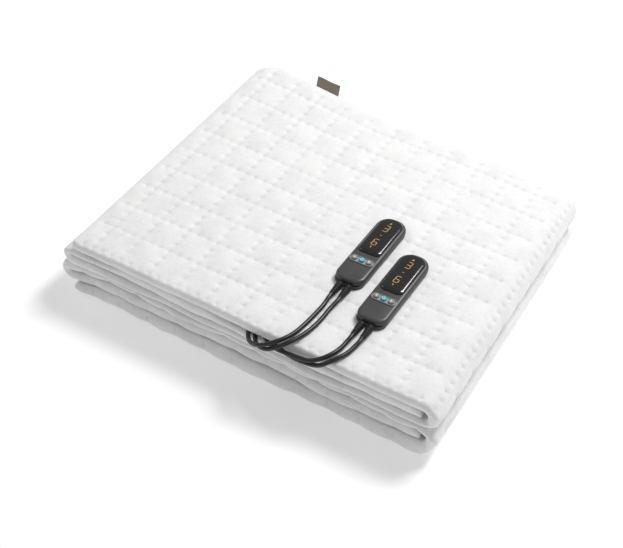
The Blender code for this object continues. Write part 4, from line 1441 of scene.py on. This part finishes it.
@dataclass
class HandsetCord:
    """One cord of a hand controller: a blanket cord, or a mains lead with its hank and plug."""

    handset: Handset
    cord: Cord

    @property
    def mains(self) -> bool:
        """Whether it is a mains lead."""
        return self.cord is Cord.A

    def line(self) -> np.ndarray:
        """Its middle line, from the guard to where it ends.

        Returns:
            An array of points.
        """
        side = self.handset.side
        tip, way = self.handset.guard_tip(self.cord)
        route = [tip - way * 0.0004, tip + way * 0.0006, tip + way * 0.005 - Vector((0.0, 0.0, 0.0001))]
        route += [PLACE.at(*p) for p in FRONT_ROUTES[side, self.cord]]
        route += [PLACE.moved(p) for p in INSIDE_ROUTES[side, self.cord]]
        if self.mains:
            route += [PLACE.moved(p) for p in HANKS[side].route()]
        return smooth_line(route, LINE_STEP)

    def build(self, mat: bpy.types.Material) -> None:
        """The cord as a round tube on its line.

        Args:
            mat: The sheath's material.
        """
        side = self.handset.side
        tip, _ = self.handset.guard_tip(self.cord)
        points = self.line()
        name = f"{'mains_lead' if self.mains else 'blanket_cord'}_{side.value}"
        curve = bpy.data.curves.new(f"{name}_look", "CURVE")
        curve.dimensions = "3D"
        spline = curve.splines.new("POLY")
        spline.points.add(len(points) - 1)
        spline.points.foreach_set("co", np.hstack([points, np.ones((len(points), 1))]).ravel())
        curve.bevel_depth, curve.bevel_resolution, curve.use_fill_caps = CORD_DIAMETER / 2, 5, True
        curve.materials.append(mat)
        obj = bpy.data.objects.new(f"{name}_look", curve)
        bpy.context.scene.collection.objects.link(obj)
        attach(obj, ROOT)
        if self.mains:
            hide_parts(name, f"hank_{side.value}", f"plug_cord_{side.value}")
        else:
            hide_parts(name)
        length = float(np.linalg.norm(np.diff(points, axis=0), axis=1).sum())
        LOG.info("%s is %.3f m long", name, length)


# ------------------------------------------------------------------ label, stage, camera
@dataclass(frozen=True)
class Label:
    """The small woven tab on the top panel's back edge, blank and slightly bowed."""

    foot: Point = (-0.1542, 0.2074, 0.0785)
    head: Point = (-0.1542, 0.2114, 0.0925)
    across: Point = (0.0370, -0.00395, 0.0)
    thick: float = 0.0009
    bow: float = 0.0004
    curl: float = 0.0010
    ruffle: float = 0.0005
    rows: int = 14
    columns: int = 24

    def point(self, row: int, column: int, layer: int) -> Vector:
        """One point of a face.

        Args:
            row: Its row, counted from the foot.
            column: Its column, counted to the right.
            layer: 0 for the front face, 1 for the back one.

        Returns:
            The point in the frame.
        """
        s, t = column / self.columns, row / self.rows
        foot, head = Vector(self.foot), Vector(self.head)
        point = foot + (head - foot) * t + Vector(self.across) * s
        point.y += self.bow * math.sin(math.pi * s) + self.curl * t * t + layer * self.thick
        point.z += self.ruffle * t * math.sin(7.0 * s + 0.6)
        return PLACE.moved(point)

    def build(self, mat: bpy.types.Material) -> bpy.types.Object:
        """The tab as one closed mesh.

        Args:
            mat: Its woven material.

        Returns:
            The object.
        """
        rows, columns = self.rows, self.columns
        points = [self.point(r, c, layer) for layer in (0, 1)
                  for r in range(rows + 1) for c in range(columns + 1)]
        stride, under = columns + 1, (rows + 1) * (columns + 1)
        faces = grid_quads(rows + 1, stride, 0) + [q[::-1] for q in grid_quads(rows + 1, stride, under)]
        rim = list(range(columns)) + [r * stride + columns for r in range(rows)]
        rim += [rows * stride + c for c in range(columns, 0, -1)] + [r * stride for r in range(rows, 0, -1)]
        for i, a in enumerate(rim):
            b = rim[(i + 1) % len(rim)]
            faces.append((a, under + a, under + b, b))
        LOG.info("label: %d x %d cells", rows, columns)
        return new_object("blanket_label_look", points, faces, mat, 50.0)


@dataclass(frozen=True)
class Studio:
    """White floor, even studio light and a soft key from above and behind."""

    floor_half: float = 9.0
    floor_down: float = 0.0002
    floor_grey: float = 0.93
    floor_roughness: float = 0.9
    floor_specular: float = 0.1
    floor_glow: float = 0.24
    air_light: float = 0.36
    aim: Point = (0.0, 0.0, 0.05)

    def floor(self) -> None:
        """The floor and its material."""
        mat = bpy.data.materials.new("studio_floor")
        mat.use_nodes = True
        shader = mat.node_tree.nodes["Principled BSDF"]
        shader.inputs["Base Color"].default_value = (self.floor_grey, self.floor_grey, self.floor_grey, 1.0)
        shader.inputs["Roughness"].default_value = self.floor_roughness
        shader.inputs["Specular IOR Level"].default_value = self.floor_specular
        shader.inputs["Emission Color"].default_value = (1.0, 1.0, 1.0, 1.0)
        shader.inputs["Emission Strength"].default_value = self.floor_glow
        half = self.floor_half
        corners = [(-half, -half, 0.0), (half, -half, 0.0), (half, half, 0.0), (-half, half, 0.0)]
        mesh = bpy.data.meshes.new("studio_floor")
        mesh.from_pydata(corners, [], [(0, 1, 2, 3)])
        mesh.materials.append(mat)
        floor = bpy.data.objects.new("studio_floor", mesh)
        floor.location.z = -self.floor_down
        bpy.context.scene.collection.objects.link(floor)

    def light(self, name: str, place: Point, size: float, power: float) -> None:
        """A square soft light that points at the stack.

        Args:
            name: The light's name.
            place: Where it stands.
            size: Its width.
            power: Its power in watts.
        """
        light = bpy.data.lights.new(name, "AREA")
        light.size, light.energy = size, power
        obj = bpy.data.objects.new(name, light)
        obj.location = place
        way = Vector(self.aim) - Vector(place)
        obj.rotation_euler = way.to_track_quat("-Z", "Y").to_euler()
        bpy.context.scene.collection.objects.link(obj)

    def build(self) -> None:
        """The floor, the light all around and both lamps."""
        self.floor()
        world = bpy.data.worlds.new("studio")
        world.use_nodes = True
        around = world.node_tree.nodes["Background"]
        around.inputs["Color"].default_value = (1.0, 1.0, 1.0, 1.0)
        around.inputs["Strength"].default_value = self.air_light
        bpy.context.scene.world = world
        bpy.context.scene.view_settings.view_transform = "Standard"
        self.light("key", (0.50, 0.90, 1.70), 0.7, 30.5)
        self.light("fill", (-1.3, -0.3, 1.4), 1.2, 3.0)


@dataclass(frozen=True)
class Camera:
    """The camera: from the front right, looking down at the stack."""

    lens: float = 70.96
    sensor: float = 36.0
    place: Point = (0.57736, -0.95872, 1.02184)
    target: Point = (0.0392, -0.1166, 0.083)

    def build(self) -> None:
        """The camera, made the scene's own."""
        camera = bpy.data.cameras.new("view")
        camera.lens, camera.sensor_width, camera.sensor_fit = self.lens, self.sensor, "HORIZONTAL"
        obj = bpy.data.objects.new("view", camera)
        way = Vector(self.target) - Vector(self.place)
        obj.location = self.place
        obj.rotation_euler = way.to_track_quat("-Z", "Y").to_euler()
        bpy.context.scene.collection.objects.link(obj)
        bpy.context.scene.camera = obj


def main() -> None:
    """Build every piece over the frame."""
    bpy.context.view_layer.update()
    nap, wear = nap_group(), wear_group()
    mats = {name: finish.build(f"{name}_look", wear) for name, finish in FINISHES.items()}
    cloth = ClothFinish().build("quilted_cloth_look", nap)
    sheet = QuiltedSheet()
    blanket = sheet.build(cloth)
    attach(blanket, ROOT)
    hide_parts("blanket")
    label = Label().build(WovenFinish().build("woven_label_look", nap))
    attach(label, ROOT)
    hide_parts("blanket_label")
    for side in Side:
        handset = Handset(side, mats)
        handset.build()
        for cord in Cord:
            HandsetCord(handset, cord).build(mats["cord_sheath"])
        for name, finish in lead_fittings(side).items():
            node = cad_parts[name]
            node.data.materials.clear()
            node.data.materials.append(mats[finish])
    Studio().build()
    Camera().build()
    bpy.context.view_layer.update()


if __name__ == "__main__":
    main()
